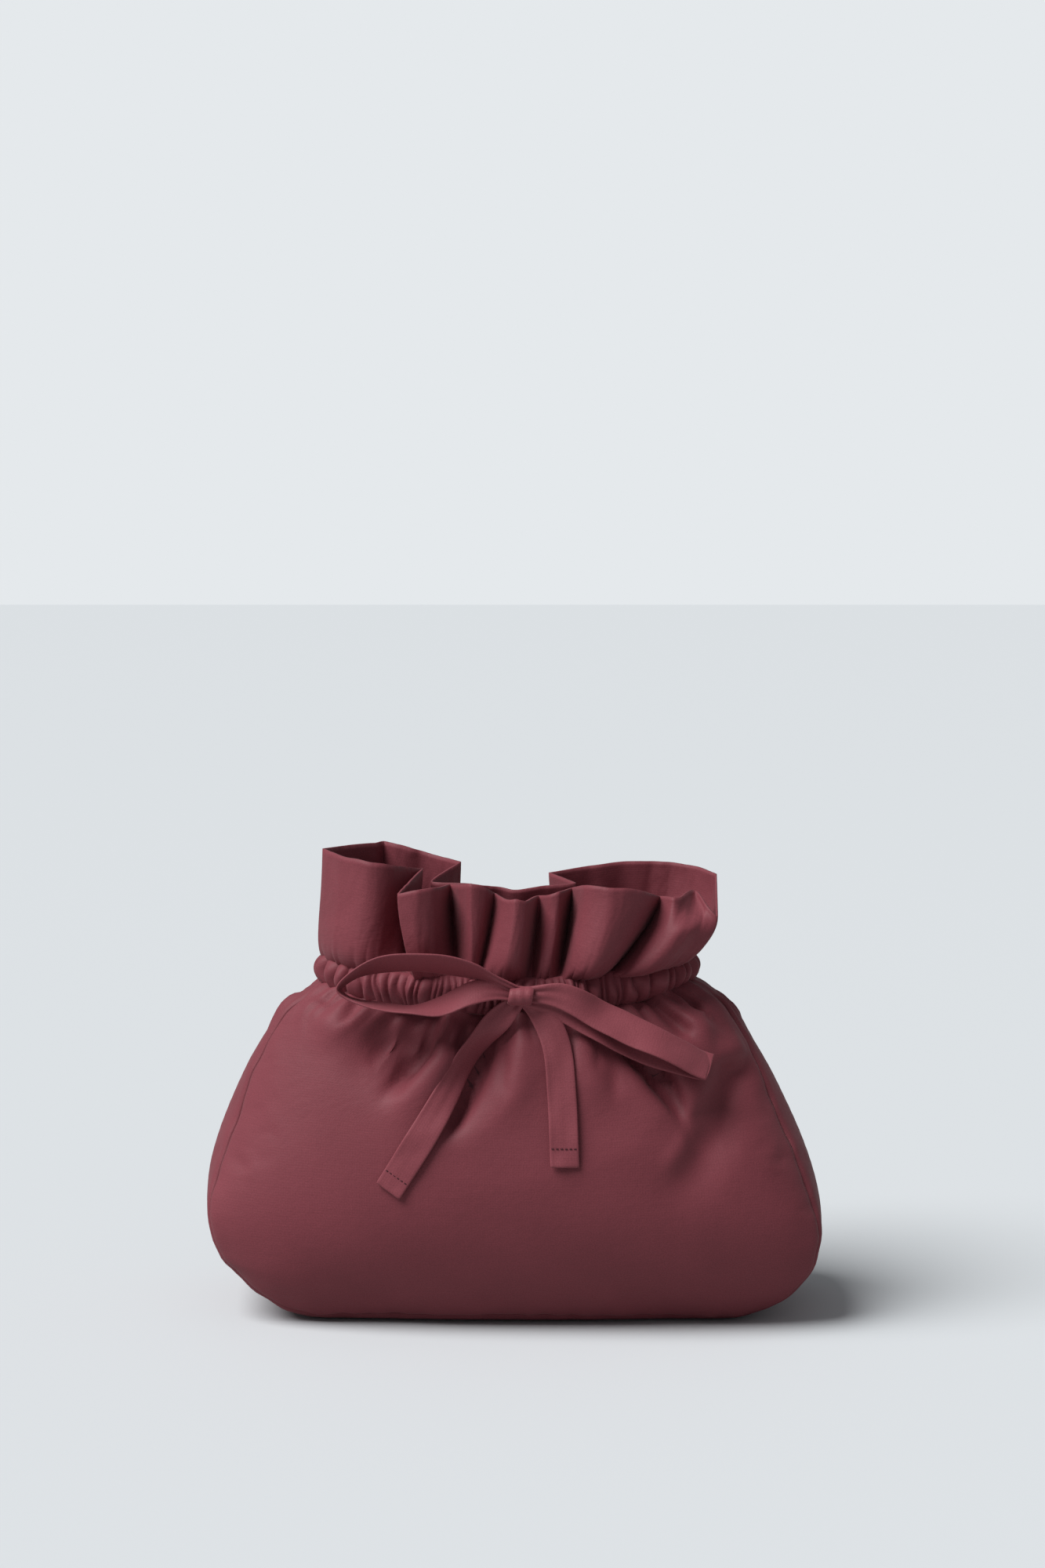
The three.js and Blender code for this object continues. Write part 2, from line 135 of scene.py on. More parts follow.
def grid_quads(index, flip=False, ring=False):
    """Quads over a grid of vertex numbers, row by row."""
    if ring:
        index = np.concatenate([index, index[:, :1]], axis=1)
    corners = [index[:-1, :-1], index[:-1, 1:], index[1:, 1:], index[1:, :-1]]
    if flip:
        corners.reverse()
    return np.stack(corners, axis=-1).reshape(-1, 4)


def new_piece(name, points, quads, uv):
    """A smooth mesh object from points in millimetres. uv holds one pair in millimetres for each point."""
    mesh = bpy.data.meshes.new(name)
    mesh.from_pydata((points * MM).tolist(), [], quads.tolist())
    layer = mesh.uv_layers.new(name="Cloth")
    corner = np.empty(len(mesh.loops), dtype=np.int32)
    mesh.loops.foreach_get("vertex_index", corner)
    layer.data.foreach_set("uv", (uv[corner] * UV_SCALE).ravel())
    mesh.shade_smooth()
    mesh.update()
    piece = bpy.data.objects.new(name, mesh)
    bpy.context.scene.collection.objects.link(piece)
    return piece


def grid_index(points, start=0):
    """Vertex numbers of a grid of points."""
    rows, columns = points.shape[:2]
    return np.arange(rows * columns).reshape(rows, columns) + start


def travelled(points, axis):
    """Distance over the cloth from the first row or column of a grid, or from the start of a curve."""
    step = np.linalg.norm(np.diff(points, axis=axis), axis=-1)
    return np.concatenate([0 * np.take(step, [0], axis=axis), np.cumsum(step, axis=axis)], axis=axis)


def cloth_map(points):
    """Distance across a grid from its middle and distance up it, in millimetres, for each point."""
    across = travelled(points, 1)
    up = travelled(points, 0).mean(axis=1, keepdims=True)
    return np.stack([across - across[:, -1:] / 2, up + 0 * across], axis=-1).reshape(-1, 2)


def grid_piece(name, points, **facing):
    """A piece made of one grid of points."""
    return new_piece(name, points.reshape(-1, 3), grid_quads(grid_index(points), **facing), cloth_map(points))


def apply_modifier(piece, kind, **settings):
    """Adds a modifier with its settings and applies it to the mesh."""
    bpy.ops.object.select_all(action="DESELECT")
    piece.select_set(True)
    bpy.context.view_layer.objects.active = piece
    modifier = piece.modifiers.new(kind.title(), kind)
    for key, value in settings.items():
        setattr(modifier, key, value)
    bpy.ops.object.modifier_apply(modifier=modifier.name)


def vertex_normals(points, quads):
    """Outward unit normals of a quad mesh."""
    p = points[quads]
    face = np.cross(p[:, 2] - p[:, 0], p[:, 3] - p[:, 1])
    normals = np.zeros_like(points)
    for k in range(4):
        np.add.at(normals, quads[:, k], face)
    return normals / np.maximum(np.linalg.norm(normals, axis=1, keepdims=True), 1e-9)


def finish(piece, material, slot, *nodes):
    """Gives a piece its material, rides it on the body and hides the nodes it stands for. The slot is not
    used.
    """
    piece.data.materials.clear()
    piece.data.materials.append(material)
    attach(piece, ROOT)
    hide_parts(*nodes)


def smooth_noise(seed, *coordinates):
    """Smooth value noise from -1 to 1, for coordinates in units of its grain."""
    total = np.zeros(np.broadcast(*coordinates).shape)
    rng = np.random.default_rng(seed)
    for _ in range(NOISE_WAVES):
        wave = rng.uniform(0, 2 * np.pi)
        for c in coordinates:
            wave = wave + np.asarray(c) * rng.normal(0, NOISE_SPREAD)
        total = total + np.sin(wave)
    return total / math.sqrt(NOISE_WAVES) * NOISE_LEVEL


def smoothstep(low, high, value):
    """Share from 0 to 1 that eases in and out as a value goes from low to high."""
    share = np.clip((np.asarray(value) - low) / (high - low), 0, 1)
    return share * share * (3 - 2 * share)


def settle_cloth(points, quads, rest, pins, frames, cap, bending, pressure=0.0):
    """Points after a cloth simulation that starts from points and pulls towards the lengths of rest.

    pins holds a weight for each point, 1 for a held one. No point moves further than cap.
    """
    mesh = bpy.data.meshes.new("settling")
    mesh.from_pydata((points * MM * SIM_SCALE).tolist(), [], quads.tolist())
    cloth = bpy.data.objects.new("settling", mesh)
    bpy.context.scene.collection.objects.link(cloth)
    cloth.shape_key_add(name="Basis")
    cut = cloth.shape_key_add(name="Cut")
    cut.data.foreach_set("co", (rest * MM * SIM_SCALE).ravel())
    group = cloth.vertex_groups.new(name="held")
    for weight in np.unique(pins[pins > 0]):
        group.add(np.flatnonzero(pins == weight).tolist(), float(weight), "REPLACE")
    modifier = cloth.modifiers.new("Cloth", "CLOTH")
    settings = modifier.settings
    settings.quality = 5
    settings.mass = 0.02
    settings.air_damping = 2
    settings.tension_stiffness = 40
    settings.compression_stiffness = 40
    settings.shear_stiffness = 10
    settings.bending_stiffness = bending
    settings.tension_damping = 10
    settings.compression_damping = 10
    settings.bending_damping = 1
    settings.use_pressure = pressure > 0
    settings.uniform_pressure_force = pressure
    settings.vertex_group_mass = "held"
    settings.rest_shape_key = cut
    settings.effector_weights.gravity = 0
    modifier.collision_settings.use_collision = False
    modifier.collision_settings.use_self_collision = False
    modifier.point_cache.frame_start = 1
    modifier.point_cache.frame_end = frames
    scene = bpy.context.scene
    for number in range(1, frames + 1):
        scene.frame_set(number)
    settled = cloth.evaluated_get(bpy.context.evaluated_depsgraph_get())
    place = np.empty(len(points) * 3)
    settled.data.vertices.foreach_get("co", place)
    scene.frame_set(1)
    bpy.data.objects.remove(cloth)
    bpy.data.meshes.remove(mesh)
    move = place.reshape(-1, 3) / (MM * SIM_SCALE) - points
    far = np.linalg.norm(move, axis=1, keepdims=True)
    return points + move * np.minimum(1, cap / np.maximum(far, 1e-9))


# Body shape

CORNER_ROUNDNESS = 0.5
SHOULDER_RISE = 0.32
SHOULDER_WIDTH = 0.6
SHOULDER_HEIGHT = 0.92
SWELL_POWER = 0.7
TAPER_POWER = 1.6
NECK_CUSHION = 2.2
BODY_CUSHION = 3.0
CUSHION_EDGE = 0.7
SADDLE_POWER = 3
GUSSET_TAPER = (0.1, 1.1)
BASE_ROUNDING = 0.1  # share by which the base narrows towards its ends
BODY_TURN = 0.05  # how far the middle of the body turns, as a slope
TURN_STARTS = (0, 0.25)  # shares of the body height
TURN_ENDS = (0.45, 1)
NECK_END_RISE = (2.4, 3.8)  # left and right
END_CLIMBS = (0.55, 1)  # shares of half the neck width
END_FALLS = (1.02, 1.35)
NECK_TUCK = 2.6  # how far the body reaches up into the casing
NECK_TUCK_POWER = 60
NECK_DRAW = 1.4  # how far the tucked edge is drawn in
SEAM_LIFT = 1.2
SEAM_LIFT_REACH = 5
# Shares of the body height, with the drift to the right as a share of the lean of the neck
BODY_DRIFT = (
    (0, 1.5), (0.06, 1.5), (0.12, 1.1), (0.18, 0.5), (0.29, -0.2), (0.4, -0.6), (0.52, -0.7),
    (0.65, -0.92), (0.75, -1), (1, -1),
)
# Shares of the body height, with the width as a share of the cut width
BODY_FULLNESS = (
    (0, 1.06), (0.04, 1.045), (0.12, 1.03), (0.18, 1.032), (0.29, 1.016), (0.4, 1.006), (0.52, 0.988),
    (0.65, 0.976), (0.8, 0.986), (0.87, 0.99), (0.92, 0.986), (0.96, 0.974), (1, 0.985),
)


def bezier(points, t):
    """Points and unit tangents of a cubic curve."""
    p = np.asarray(points, dtype=float)
    t = np.asarray(t, dtype=float)[:, None]
    a = 1 - t
    at = a ** 3 * p[0] + 3 * a * a * t * p[1] + 3 * a * t * t * p[2] + t ** 3 * p[3]
    along = a * a * (p[1] - p[0]) + 2 * a * t * (p[2] - p[1]) + t * t * (p[3] - p[2])
    return at, along / np.linalg.norm(along, axis=1, keepdims=True)


class BodyShape:
    """Outer skin of the padded body in millimetres."""

    def __init__(self, sizes):
        for key in PouchSizes.__annotations__:
            setattr(self, key, getattr(sizes, key) / MM)
        gusset_share = self.neck_gusset / self.neck_depth
        self.neck_puff = self.neck_width / 2 * (1 - math.sqrt(1 - gusset_share ** 2))
        fullest = self.body_width / 2 - self.side_puff
        neck = self.neck_width / 2 - self.neck_puff
        low, high = self.fullest_height, self.body_height
        self.corner = [
            (self.base_seam / 2, 0),
            (self.base_seam / 2 + (fullest - self.base_seam / 2) * CORNER_ROUNDNESS, 0),
            (fullest, low * CORNER_ROUNDNESS),
            (fullest, low),
        ]
        self.shoulder = [
            (fullest, low),
            (fullest, low + (high - low) * SHOULDER_RISE),
            (neck + (fullest - neck) * SHOULDER_WIDTH, low + (high - low) * SHOULDER_HEIGHT),
            (neck, high),
        ]

    def neck_share(self, height):
        """Share of the way from the fullest part up to the neck."""
        return np.maximum(0, (height - self.fullest_height) / (self.body_height - self.fullest_height))

    def gusset_half(self, height):
        """Half the width of the gusset."""
        share = smoothstep(*GUSSET_TAPER, height / self.body_height)
        return self.base_depth / 2 * (1 - share) + self.neck_gusset / 2 * share

    def depth_half(self, height):
        """Half the depth in the middle of the panels."""
        rise = np.clip(height / self.fullest_height, 0, 1) ** SWELL_POWER
        swell = np.sin(np.pi / 2 * rise)
        low = self.base_depth / 2 + (self.body_depth - self.base_depth) / 2 * swell
        taper = self.neck_share(height) ** TAPER_POWER
        return low - (self.body_depth - self.neck_depth) / 2 * taper

    def cushion(self, share, height):
        """Crown of a panel at a share of its half width."""
        power = BODY_CUSHION + (NECK_CUSHION - BODY_CUSHION) * self.neck_share(height)
        return np.maximum(0, 1 - np.abs(share) ** power) ** CUSHION_EDGE

    def saddle(self, x):
        """Rise of the neck seam towards its two ends."""
        return self.neck_saddle * ((x / (self.neck_width / 2)) ** 2 - 0.5)

    def end_rise(self, x):
        """How far the neck seam climbs at the two ends of the neck, more on the right."""
        out = np.abs(x) / (self.neck_width / 2)
        share = smoothstep(*END_CLIMBS, out) * (1 - smoothstep(*END_FALLS, out))
        return share * np.where(x > 0, NECK_END_RISE[1], NECK_END_RISE[0])

    def lean(self, z):
        """How far the filled body is shifted to the left at a height."""
        heights, drifts = zip(*BODY_DRIFT)
        return -np.interp(z, np.array(heights) * self.body_height, np.array(drifts)) * self.neck_lean

    def fuller(self, z):
        """How much wider the filled body is than its cut at a height."""
        heights, shares = zip(*BODY_FULLNESS)
        return np.interp(z, np.array(heights) * self.body_height, shares)

    def tucked(self, z):
        """How much of the tuck into the casing reaches a height."""
        return (z / self.body_height) ** NECK_TUCK_POWER

    def placed(self, x, y, z):
        """Where a point of the cut body lies on the filled one."""
        share = z / self.body_height
        tucked = self.tucked(z)
        rise = (self.saddle(x) + self.end_rise(x)) * share ** SADDLE_POWER + NECK_TUCK * tucked
        inside = np.maximum(0, self.base_depth / 2 - np.abs(y))
        rise = rise + SEAM_LIFT * np.exp(-(np.hypot(z, inside) / SEAM_LIFT_REACH) ** 2)
        out = np.minimum(1, (x / self.base_seam * 2) ** 2)
        round_off = BASE_ROUNDING * out * (1 - smoothstep(0, self.fullest_height, z))
        turn = BODY_TURN * x * smoothstep(*TURN_STARTS, share) * (1 - smoothstep(*TURN_ENDS, share))
        in_x = 1 - NECK_DRAW * tucked / (self.neck_width / 2)
        in_y = 1 - NECK_DRAW * tucked / (self.neck_depth / 2)
        return np.stack(
            [x * self.fuller(z) * in_x - self.lean(z), y * (1 - round_off) * in_y - turn, z + rise], axis=-1
        )

    def outline(self, corner_steps, shoulder_steps):
        """Half outline of a panel with the direction in which the gusset puffs out."""
        low, low_along = bezier(self.corner, np.linspace(0, 1, corner_steps, endpoint=False))
        high, high_along = bezier(self.shoulder, np.linspace(0, 1, shoulder_steps + 1))
        at = np.concatenate([low, high])
        along = np.concatenate([low_along, high_along])
        out = np.stack([along[:, 1], -along[:, 0] * (1 - self.neck_share(at[:, 1]))], axis=-1)
        return at, out

    def neck_point(self, angle, offset):
        """A point of the neck oval seen from above, moved outwards by an offset."""
        a, b = self.neck_width / 2, self.neck_depth / 2
        normal = np.stack([b * np.cos(angle), a * np.sin(angle)], axis=-1)
        normal /= np.linalg.norm(normal, axis=-1, keepdims=True)
        oval = np.stack([a * np.cos(angle), b * np.sin(angle)], axis=-1)
        return oval + normal * np.asarray(offset)[..., None]

    def neck_height(self, x):
        """Height of the neck seam at a distance from the middle of the neck."""
        return self.body_height + self.saddle(x)


# Materials


def node_adder(tree):
    """The function that adds a node to a tree, with its settings and the links into it."""

    def add(kind, links=(), **settings):
        node = tree.nodes.new("ShaderNode" + kind)
        for key, value in settings.items():
            if key in node.inputs:
                node.inputs[key].default_value = value
            else:
                setattr(node, key, value)
        for socket, source in dict(links).items():
            tree.links.new(source, node.inputs[socket])
        return node

    return add


def new_material(name):
    """A node material with its shader, its node adder and a function that links into the shader."""
    material = bpy.data.materials.new(name)
    material.use_nodes = True
    tree = material.node_tree
    shader = tree.nodes["Principled BSDF"]

    def link(source, socket):
        tree.links.new(source, shader.inputs[socket])

    return material, shader, node_adder(tree), link


THREAD_COLOUR = "#4a1f28"
CLOUD_SPREAD = 0.05
GRAIN_SPREAD = 0.14
ROUGHNESS_SPREAD = 0.05


def cloth_material(name, base, thread_mm, roughness, sheen, slub):
    """Woven cloth: fine crossing threads, faint uneven slubs along the weft and a soft sheen.

    A band of the wave textures stands for two threads. Each material is made once.
    """
    found = bpy.data.materials.get(name)
    if found:
        return found
    material, shader, add, link = new_material(name)
    uv = add("UVMap", uv_map="Cloth").outputs["UV"]
    per_unit = 1 / (thread_mm * UV_SCALE)
    warp, weft = (
        add("TexWave", {"Vector": uv}, wave_type="BANDS", bands_direction=way, Scale=per_unit / 2 / math.pi,
            Distortion=0.6, Detail=1.0)
        for way in "XY"
    )
    weave = add("Math", {0: warp.outputs["Fac"], 1: weft.outputs["Fac"]}, operation="ADD")
    stretched = add("Mapping", {"Vector": uv}, Scale=(0.5, 9.0, 1.0))
    slubs = add("TexNoise", {"Vector": stretched.outputs["Vector"]}, Scale=1.2, Detail=3.0, Roughness=0.6)
    cloud = add("TexNoise", {"Vector": uv}, Scale=0.35, Detail=3.0)
    grain = add("TexNoise", {"Vector": uv}, Scale=per_unit * 0.9, Detail=2.0, Roughness=0.7)
    shade = None
    for noise, spread in ((slubs, slub), (cloud, CLOUD_SPREAD), (grain, GRAIN_SPREAD)):
        ends = {"From Min": 0.3, "From Max": 0.7, "To Min": 1 - spread, "To Max": 1 + spread}
        level = add("MapRange", {"Value": noise.outputs["Fac"]}, **ends).outputs["Result"]
        shade = add("Math", {0: shade, 1: level}, operation="MULTIPLY").outputs[0] if shade else level
    tint = add("Mix", {7: shade}, data_type="RGBA", blend_type="MULTIPLY")
    tint.inputs[0].default_value = 1.0
    tint.inputs[6].default_value = (*base, 1)
    link(tint.outputs[2], "Base Color")
    ends = {"To Min": roughness - ROUGHNESS_SPREAD, "To Max": roughness + ROUGHNESS_SPREAD}
    link(add("MapRange", {"Value": slubs.outputs["Fac"]}, **ends).outputs["Result"], "Roughness")
    crinkle = add("TexNoise", {"Vector": uv}, Scale=2.6, Detail=4.0, Roughness=0.55)
    fine = add("Bump", {"Height": weave.outputs[0]}, Strength=0.06, Distance=0.0002)
    soft = add("Bump", {"Height": crinkle.outputs["Fac"], "Normal": fine.outputs["Normal"]}, Strength=0.25,
               Distance=0.0006)
    link(soft.outputs["Normal"], "Normal")
    shader.inputs["Sheen Weight"].default_value = sheen
    shader.inputs["Sheen Roughness"].default_value = 0.45
    shader.inputs["Sheen Tint"].default_value = (1.0, 0.72, 0.74, 1)
    shader.inputs["Specular IOR Level"].default_value = 0.24
    return material


def satin():
    """Polyester satin taffeta, plain woven and pressed: a smooth face with a broad soft highlight."""
    # Real threads are about 0.2 mm apart. They are drawn at 0.5 mm so that the weave shows at all.
    colours = bpy.context.scene.pouch_colours
    return cloth_material("wine_satin_taffeta", colours.satin, 0.5, 0.58, 0.08, 0.02)


def ribbon_satin():
    """Pressed satin ribbon: the shell cloth with a smoother face, in a slightly lighter colour that paints in
    the extra light its satin faces catch.
    """
    # Threads are drawn at 0.5 mm, as on the shell.
    colours = bpy.context.scene.pouch_colours
    return cloth_material("wine_satin_ribbon_painted_light", colours.ribbon, 0.5, 0.55, 0.1, 0.02)


def lining_cloth():
    """Thin plain polyester lining: darker than the shell, with a duller face."""
    # Real threads are about 0.2 mm apart. They are drawn at 0.6 mm, a little coarser than the shell's.
    colours = bpy.context.scene.pouch_colours
    return cloth_material("wine_polyester_lining", colours.lining, 0.6, 0.6, 0.1, 0.03)


def sewing_thread():
    """Spun polyester thread: a matt dark line on the satin, a little fuzzy."""
    return cloth_material("spun_polyester_thread", linear(THREAD_COLOUR), 0.4, 0.7, 0.2, 0.1)


# Body

CORNER_ROWS = 26
SHOULDER_ROWS = 50
PANEL_COLUMNS = 124
GUSSET_COLUMNS = 28
SEAM_CROWDING = 0.4  # how much closer the columns of a panel lie at its seams


class BodyGrid:
    """One welded skin of the front, back and gusset, with vertex numbers for each."""

    def __init__(self, shape):
        at, out = shape.outline(CORNER_ROWS, SHOULDER_ROWS)
        rows, columns = len(at), PANEL_COLUMNS + 1
        even = np.linspace(-1, 1, columns)
        share = (1 - SEAM_CROWDING) * even + SEAM_CROWDING * np.sin(np.pi / 2 * even)
        height = at[:, 1][:, None]
        half = shape.gusset_half(height)
        stand = half + (shape.depth_half(height) - half) * shape.cushion(share[None, :], height)
        x = at[:, 0][:, None] * share
        front = shape.placed(x, -stand, height + 0 * x)
        back = shape.placed(x, stand, height + 0 * x)

        across = np.linspace(-1, 1, GUSSET_COLUMNS + 1)
        puff = np.where(
            at[:, 1] < shape.fullest_height,
            shape.side_puff * at[:, 1] / shape.fullest_height,
            shape.side_puff + (shape.neck_puff - shape.side_puff) * shape.neck_share(at[:, 1]),
        )
        bulge = puff[:, None] * (1 - across ** 2)
        side_x = at[:, 0][:, None] + out[:, 0][:, None] * bulge
        side_z = height + out[:, 1][:, None] * bulge
        side_y = half * across
        right = shape.placed(side_x, side_y, side_z)
        left = shape.placed(-side_x, side_y, side_z)[::-1]
        base_x = at[0, 0] * share[1:-1][:, None] + 0 * across
        base = shape.placed(base_x, half[0] * across + 0 * base_x, 0 * base_x)
        strip = np.concatenate([left, base, right])

        count = rows * columns
        self.front = grid_index(front)
        self.back = grid_index(back, count)
        inner = grid_index(strip[:, 1:-1], 2 * count)
        self.gusset = np.concatenate(
            [self._edge(self.front)[:, None], inner, self._edge(self.back)[:, None]], axis=1
        )
        self.points = np.concatenate(
            [front.reshape(-1, 3), back.reshape(-1, 3), strip[:, 1:-1].reshape(-1, 3)]
        )
        self.quads = np.concatenate(
            [grid_quads(self.front), grid_quads(self.back, flip=True), grid_quads(self.gusset)]
        )
        self.height = np.concatenate(
            [np.repeat(at[:, 1], columns), np.repeat(at[:, 1], columns), strip[:, 1:-1, 2].ravel()]
        )

    @staticmethod
    def _edge(panel):
        """Seam of a panel from the left neck round the base to the right neck."""
        return np.concatenate([panel[::-1, 0], panel[0, 1:-1], panel[:, -1]])


def fold(flat, path, depth, width, blunt, start, end):
    """Height of one fold along a path of plane points: a ridge, or a valley where the depth is negative.

    The fold is full from the share start of its path to the share end and fades beyond.
    """
    path = np.asarray(path, dtype=float)
    best = np.full(flat.shape[:-1], 1e9)
    share = np.zeros(flat.shape[:-1])
    steps = len(path) - 1
    for i in range(steps):
        a, b = path[i], path[i + 1]
        along = b - a
        t = np.clip(((flat - a) @ along) / (along @ along), 0, 1)
        gap = np.linalg.norm(flat - a - t[..., None] * along, axis=-1)
        nearer = gap < best
        best = np.where(nearer, gap, best)
        share = np.where(nearer, (i + t) / steps, share)
    fade = 1 - smoothstep(end, 1.0, share)
    if start > 0:
        fade = fade * smoothstep(0, start, share)
    return depth * fade * np.exp(-((best / width) ** blunt))


# Folds of the front as (x, z) paths in millimetres, with their depth (a valley is negative), width,
# bluntness and the shares of the path where they are full
FRONT_FOLDS = [
    ([(-4, 127), (-13.6, 103.4), (-22.6, 84.5), (-28, 74)], -5.5, 5.0, 1.6, 0, 0.45),
    ([(3, 124), (1, 108), (-2, 92), (-3, 76)], 2.6, 9, 2, 0, 0.3),
    ([(-29.8, 126), (-34, 109), (-42.8, 100), (-54.2, 88.4)], -4.0, 3.6, 1.4, 0, 0.5),
    ([(-22, 126), (-28, 108), (-39, 93), (-52, 80)], 3.4, 6.0, 2, 0, 0.4),
    ([(-12, 127), (-21, 113), (-28, 107)], -2.6, 3.2, 1.6, 0, 0.5),
    ([(-37, 127), (-46, 113), (-56, 103), (-68, 92)], -5.5, 9.5, 2, 0, 0.35),
    ([(16, 126), (25, 114), (31, 95), (32, 80)], 2.6, 8, 2, 0, 0.35),
    ([(32, 124), (43.8, 110), (52.7, 101.7), (60.9, 90.2), (66, 79)], -4.2, 3.6, 1.5, 0, 0.45),
    ([(54.4, 103), (61, 95), (65, 85), (66.2, 78)], -2.4, 2.4, 1.5, 0.1, 0.4),
    ([(62, 112), (70, 99), (74, 86), (70, 74)], 1.8, 7.0, 2, 0.1, 0.4),
    ([(66, 79), (65, 72), (59.4, 66.3), (53, 65.5)], 1.2, 4.0, 2, 0.2, 0.5),
    ([(88, 106), (84.6, 93), (79, 80), (64.4, 60), (58, 45)], -4.5, 9, 2, 0.15, 0.4),
    ([(72, 126), (84, 109), (93, 94), (95, 80)], 2.0, 8, 2, 0.1, 0.4),
    ([(50, 129), (62.8, 118.3), (72.6, 108.4)], -3.6, 2.8, 1.6, 0, 0.4),
    ([(56, 128), (69, 118), (82, 109)], 3.0, 3.6, 2, 0, 0.4),
    ([(62, 129), (76, 119.2), (89, 108)], -3.2, 2.6, 1.6, 0, 0.4),
    ([(-60, 128), (-72, 124), (-83, 126)], -2.6, 3, 1.6, 0, 0.4),
    ([(-58, 128), (-70, 117), (-82, 106)], 2.4, 6, 2, 0, 0.3),
]
# Creases that stay sharp in the settled cloth, in the same form
FRONT_CREASES = [
    ([(-6, 122), (-13.6, 103.4), (-22.6, 84.5), (-28, 74)], -1.8, 2.2, 1.3, 0.1, 0.5),
    ([(-31, 120), (-34, 109), (-42.8, 100), (-54.2, 88.4)], -1.8, 2.2, 1.3, 0.45, 0.65),
    ([(38, 116), (43.8, 110), (52.7, 101.7), (60.9, 90.2), (66, 79)], -1.7, 2.2, 1.3, 0.1, 0.6),
    ([(54.4, 103), (61, 95), (65, 85), (66.2, 78)], -1.3, 2.0, 1.3, 0.1, 0.5),
    ([(62, 121), (76, 114), (86, 107)], -1.0, 2.0, 1.3, 0.1, 0.5),
]
BACK_FOLDS = 0.5  # strength of the same folds on the back
FOLD_EDGE = 12  # distance from a seam at which the folds are full
NECK_GATHER = 1.4
GATHER_REACH = 9
GATHER_FADE = 1.3
GATHER_WANDER = 1.5
WANDER_GRAIN = (12, 14)  # round the neck and down from it
# Strength, wavelength divided by 2 pi, and phase of the small gathers
GATHER_WAVES = ((1, 1.05, 0), (0.7, 1.7, 1))


def fold_rise(points, grid, folds):
    """Height of a list of folds at each point of the skin, on the front and turned round on the back."""
    edge = seam_distance(points, grid)
    rise = np.zeros(len(points))
    for panel, side, strength in ((grid.front, 1, 1), (grid.back, -1, BACK_FOLDS)):
        flat = points[panel][..., [0, 2]] * np.array([side, 1])
        total = np.zeros(panel.shape)
        for path, *form in folds:
            total += fold(flat, path, *form)
        rise[panel] = strength * total * smoothstep(0, FOLD_EDGE, edge[panel])
    return rise


def shaped_body(shape, grid):
    """The skin with the folds and gathers that run down from the neck."""
    points = grid.points.copy()
    normals = vertex_normals(points, grid.quads)
    rise = fold_rise(points, grid, FRONT_FOLDS)
    below = np.maximum(0, shape.body_height - grid.height)
    angle = -np.abs(np.arctan2(points[:, 1] / shape.neck_depth, points[:, 0] / shape.neck_width))
    run = angle * (shape.neck_width + shape.neck_depth) / 4
    wander = run + GATHER_WANDER * smooth_noise(31, run / WANDER_GRAIN[0], below / WANDER_GRAIN[1])
    gather = sum(strength * np.sin(wander / wave + phase) for strength, wave, phase in GATHER_WAVES)
    gather *= 1 - shape.tucked(np.minimum(grid.height, shape.body_height))
    rise += NECK_GATHER * gather * np.exp(-((below / GATHER_REACH) ** GATHER_FADE))
    points += normals * rise[:, None]
    points[:, 2] = np.maximum(points[:, 2], 0.0)
    return points


def seam_distance(points, grid):
    """Distance of each point from the nearest panel seam, measured along the cloth."""
    distance = np.empty(len(points))
    for index in (grid.front, grid.back, grid.gusset):
        run = travelled(points[index], 1)
        distance[index] = np.minimum(run, run[:, -1:] - run)
    for panel in (grid.front, grid.back):
        distance[panel] = np.minimum(distance[panel], travelled(points[panel], 0))
    return distance


NECK_CUT = 0.1  # share by which the cloth is cut fuller at the neck
NECK_CUT_SPAN = (0.1, 1.0)
FLAT_BASE = 0.5  # cloth lower than this lies on the floor
BODY_FRAMES = 16
BODY_CAP = 5.0
BODY_PRESSURE = 4.5
BODY_BENDING = 2.5
SEAM_CALM = 6  # rows
SEAM_STIFF = 8.0
LOW_CALM = (35, 75)  # heights between which the skin begins to crease
FOLD_PRESS = 0.75  # share of each fold that stays pressed into the wadding
PRESS_SPAN = (2, 14)  # distances below the neck over which that begins


def evened(values, reach, axis):
    """Values of a grid evened out along one axis over a number of rows."""
    steps = np.arange(-3 * reach, 3 * reach + 1)
    kernel = np.exp(-((steps / reach) ** 2))
    kernel /= kernel.sum()
    margin = [(0, 0)] * values.ndim
    margin[axis] = (3 * reach, 3 * reach)
    wide = np.moveaxis(np.pad(values, margin, mode="edge"), axis, 0)
    count = values.shape[axis]
    return np.moveaxis(sum(weight * wide[i:i + count] for i, weight in enumerate(kernel)), 0, axis)


def calm_seams(move, edge, grid):
    """The movement of the skin evened out along the seams, where the layers and stitches stiffen it."""
    calmed = move.copy()
    for index in (grid.front, grid.back, grid.gusset):
        share = np.exp(-((edge[index] / SEAM_STIFF) ** 2))[..., None]
        own = move[index] * (1 - share) + evened(move[index], SEAM_CALM, 0) * share
        even = evened(own, SEAM_CALM, 1)
        low = (1 - smoothstep(*LOW_CALM, grid.height[index]))[..., None]
        low = low * smoothstep(0, SEAM_STIFF, edge[index])[..., None]
        calmed[index] = own * (1 - low) + even * low
    return calmed


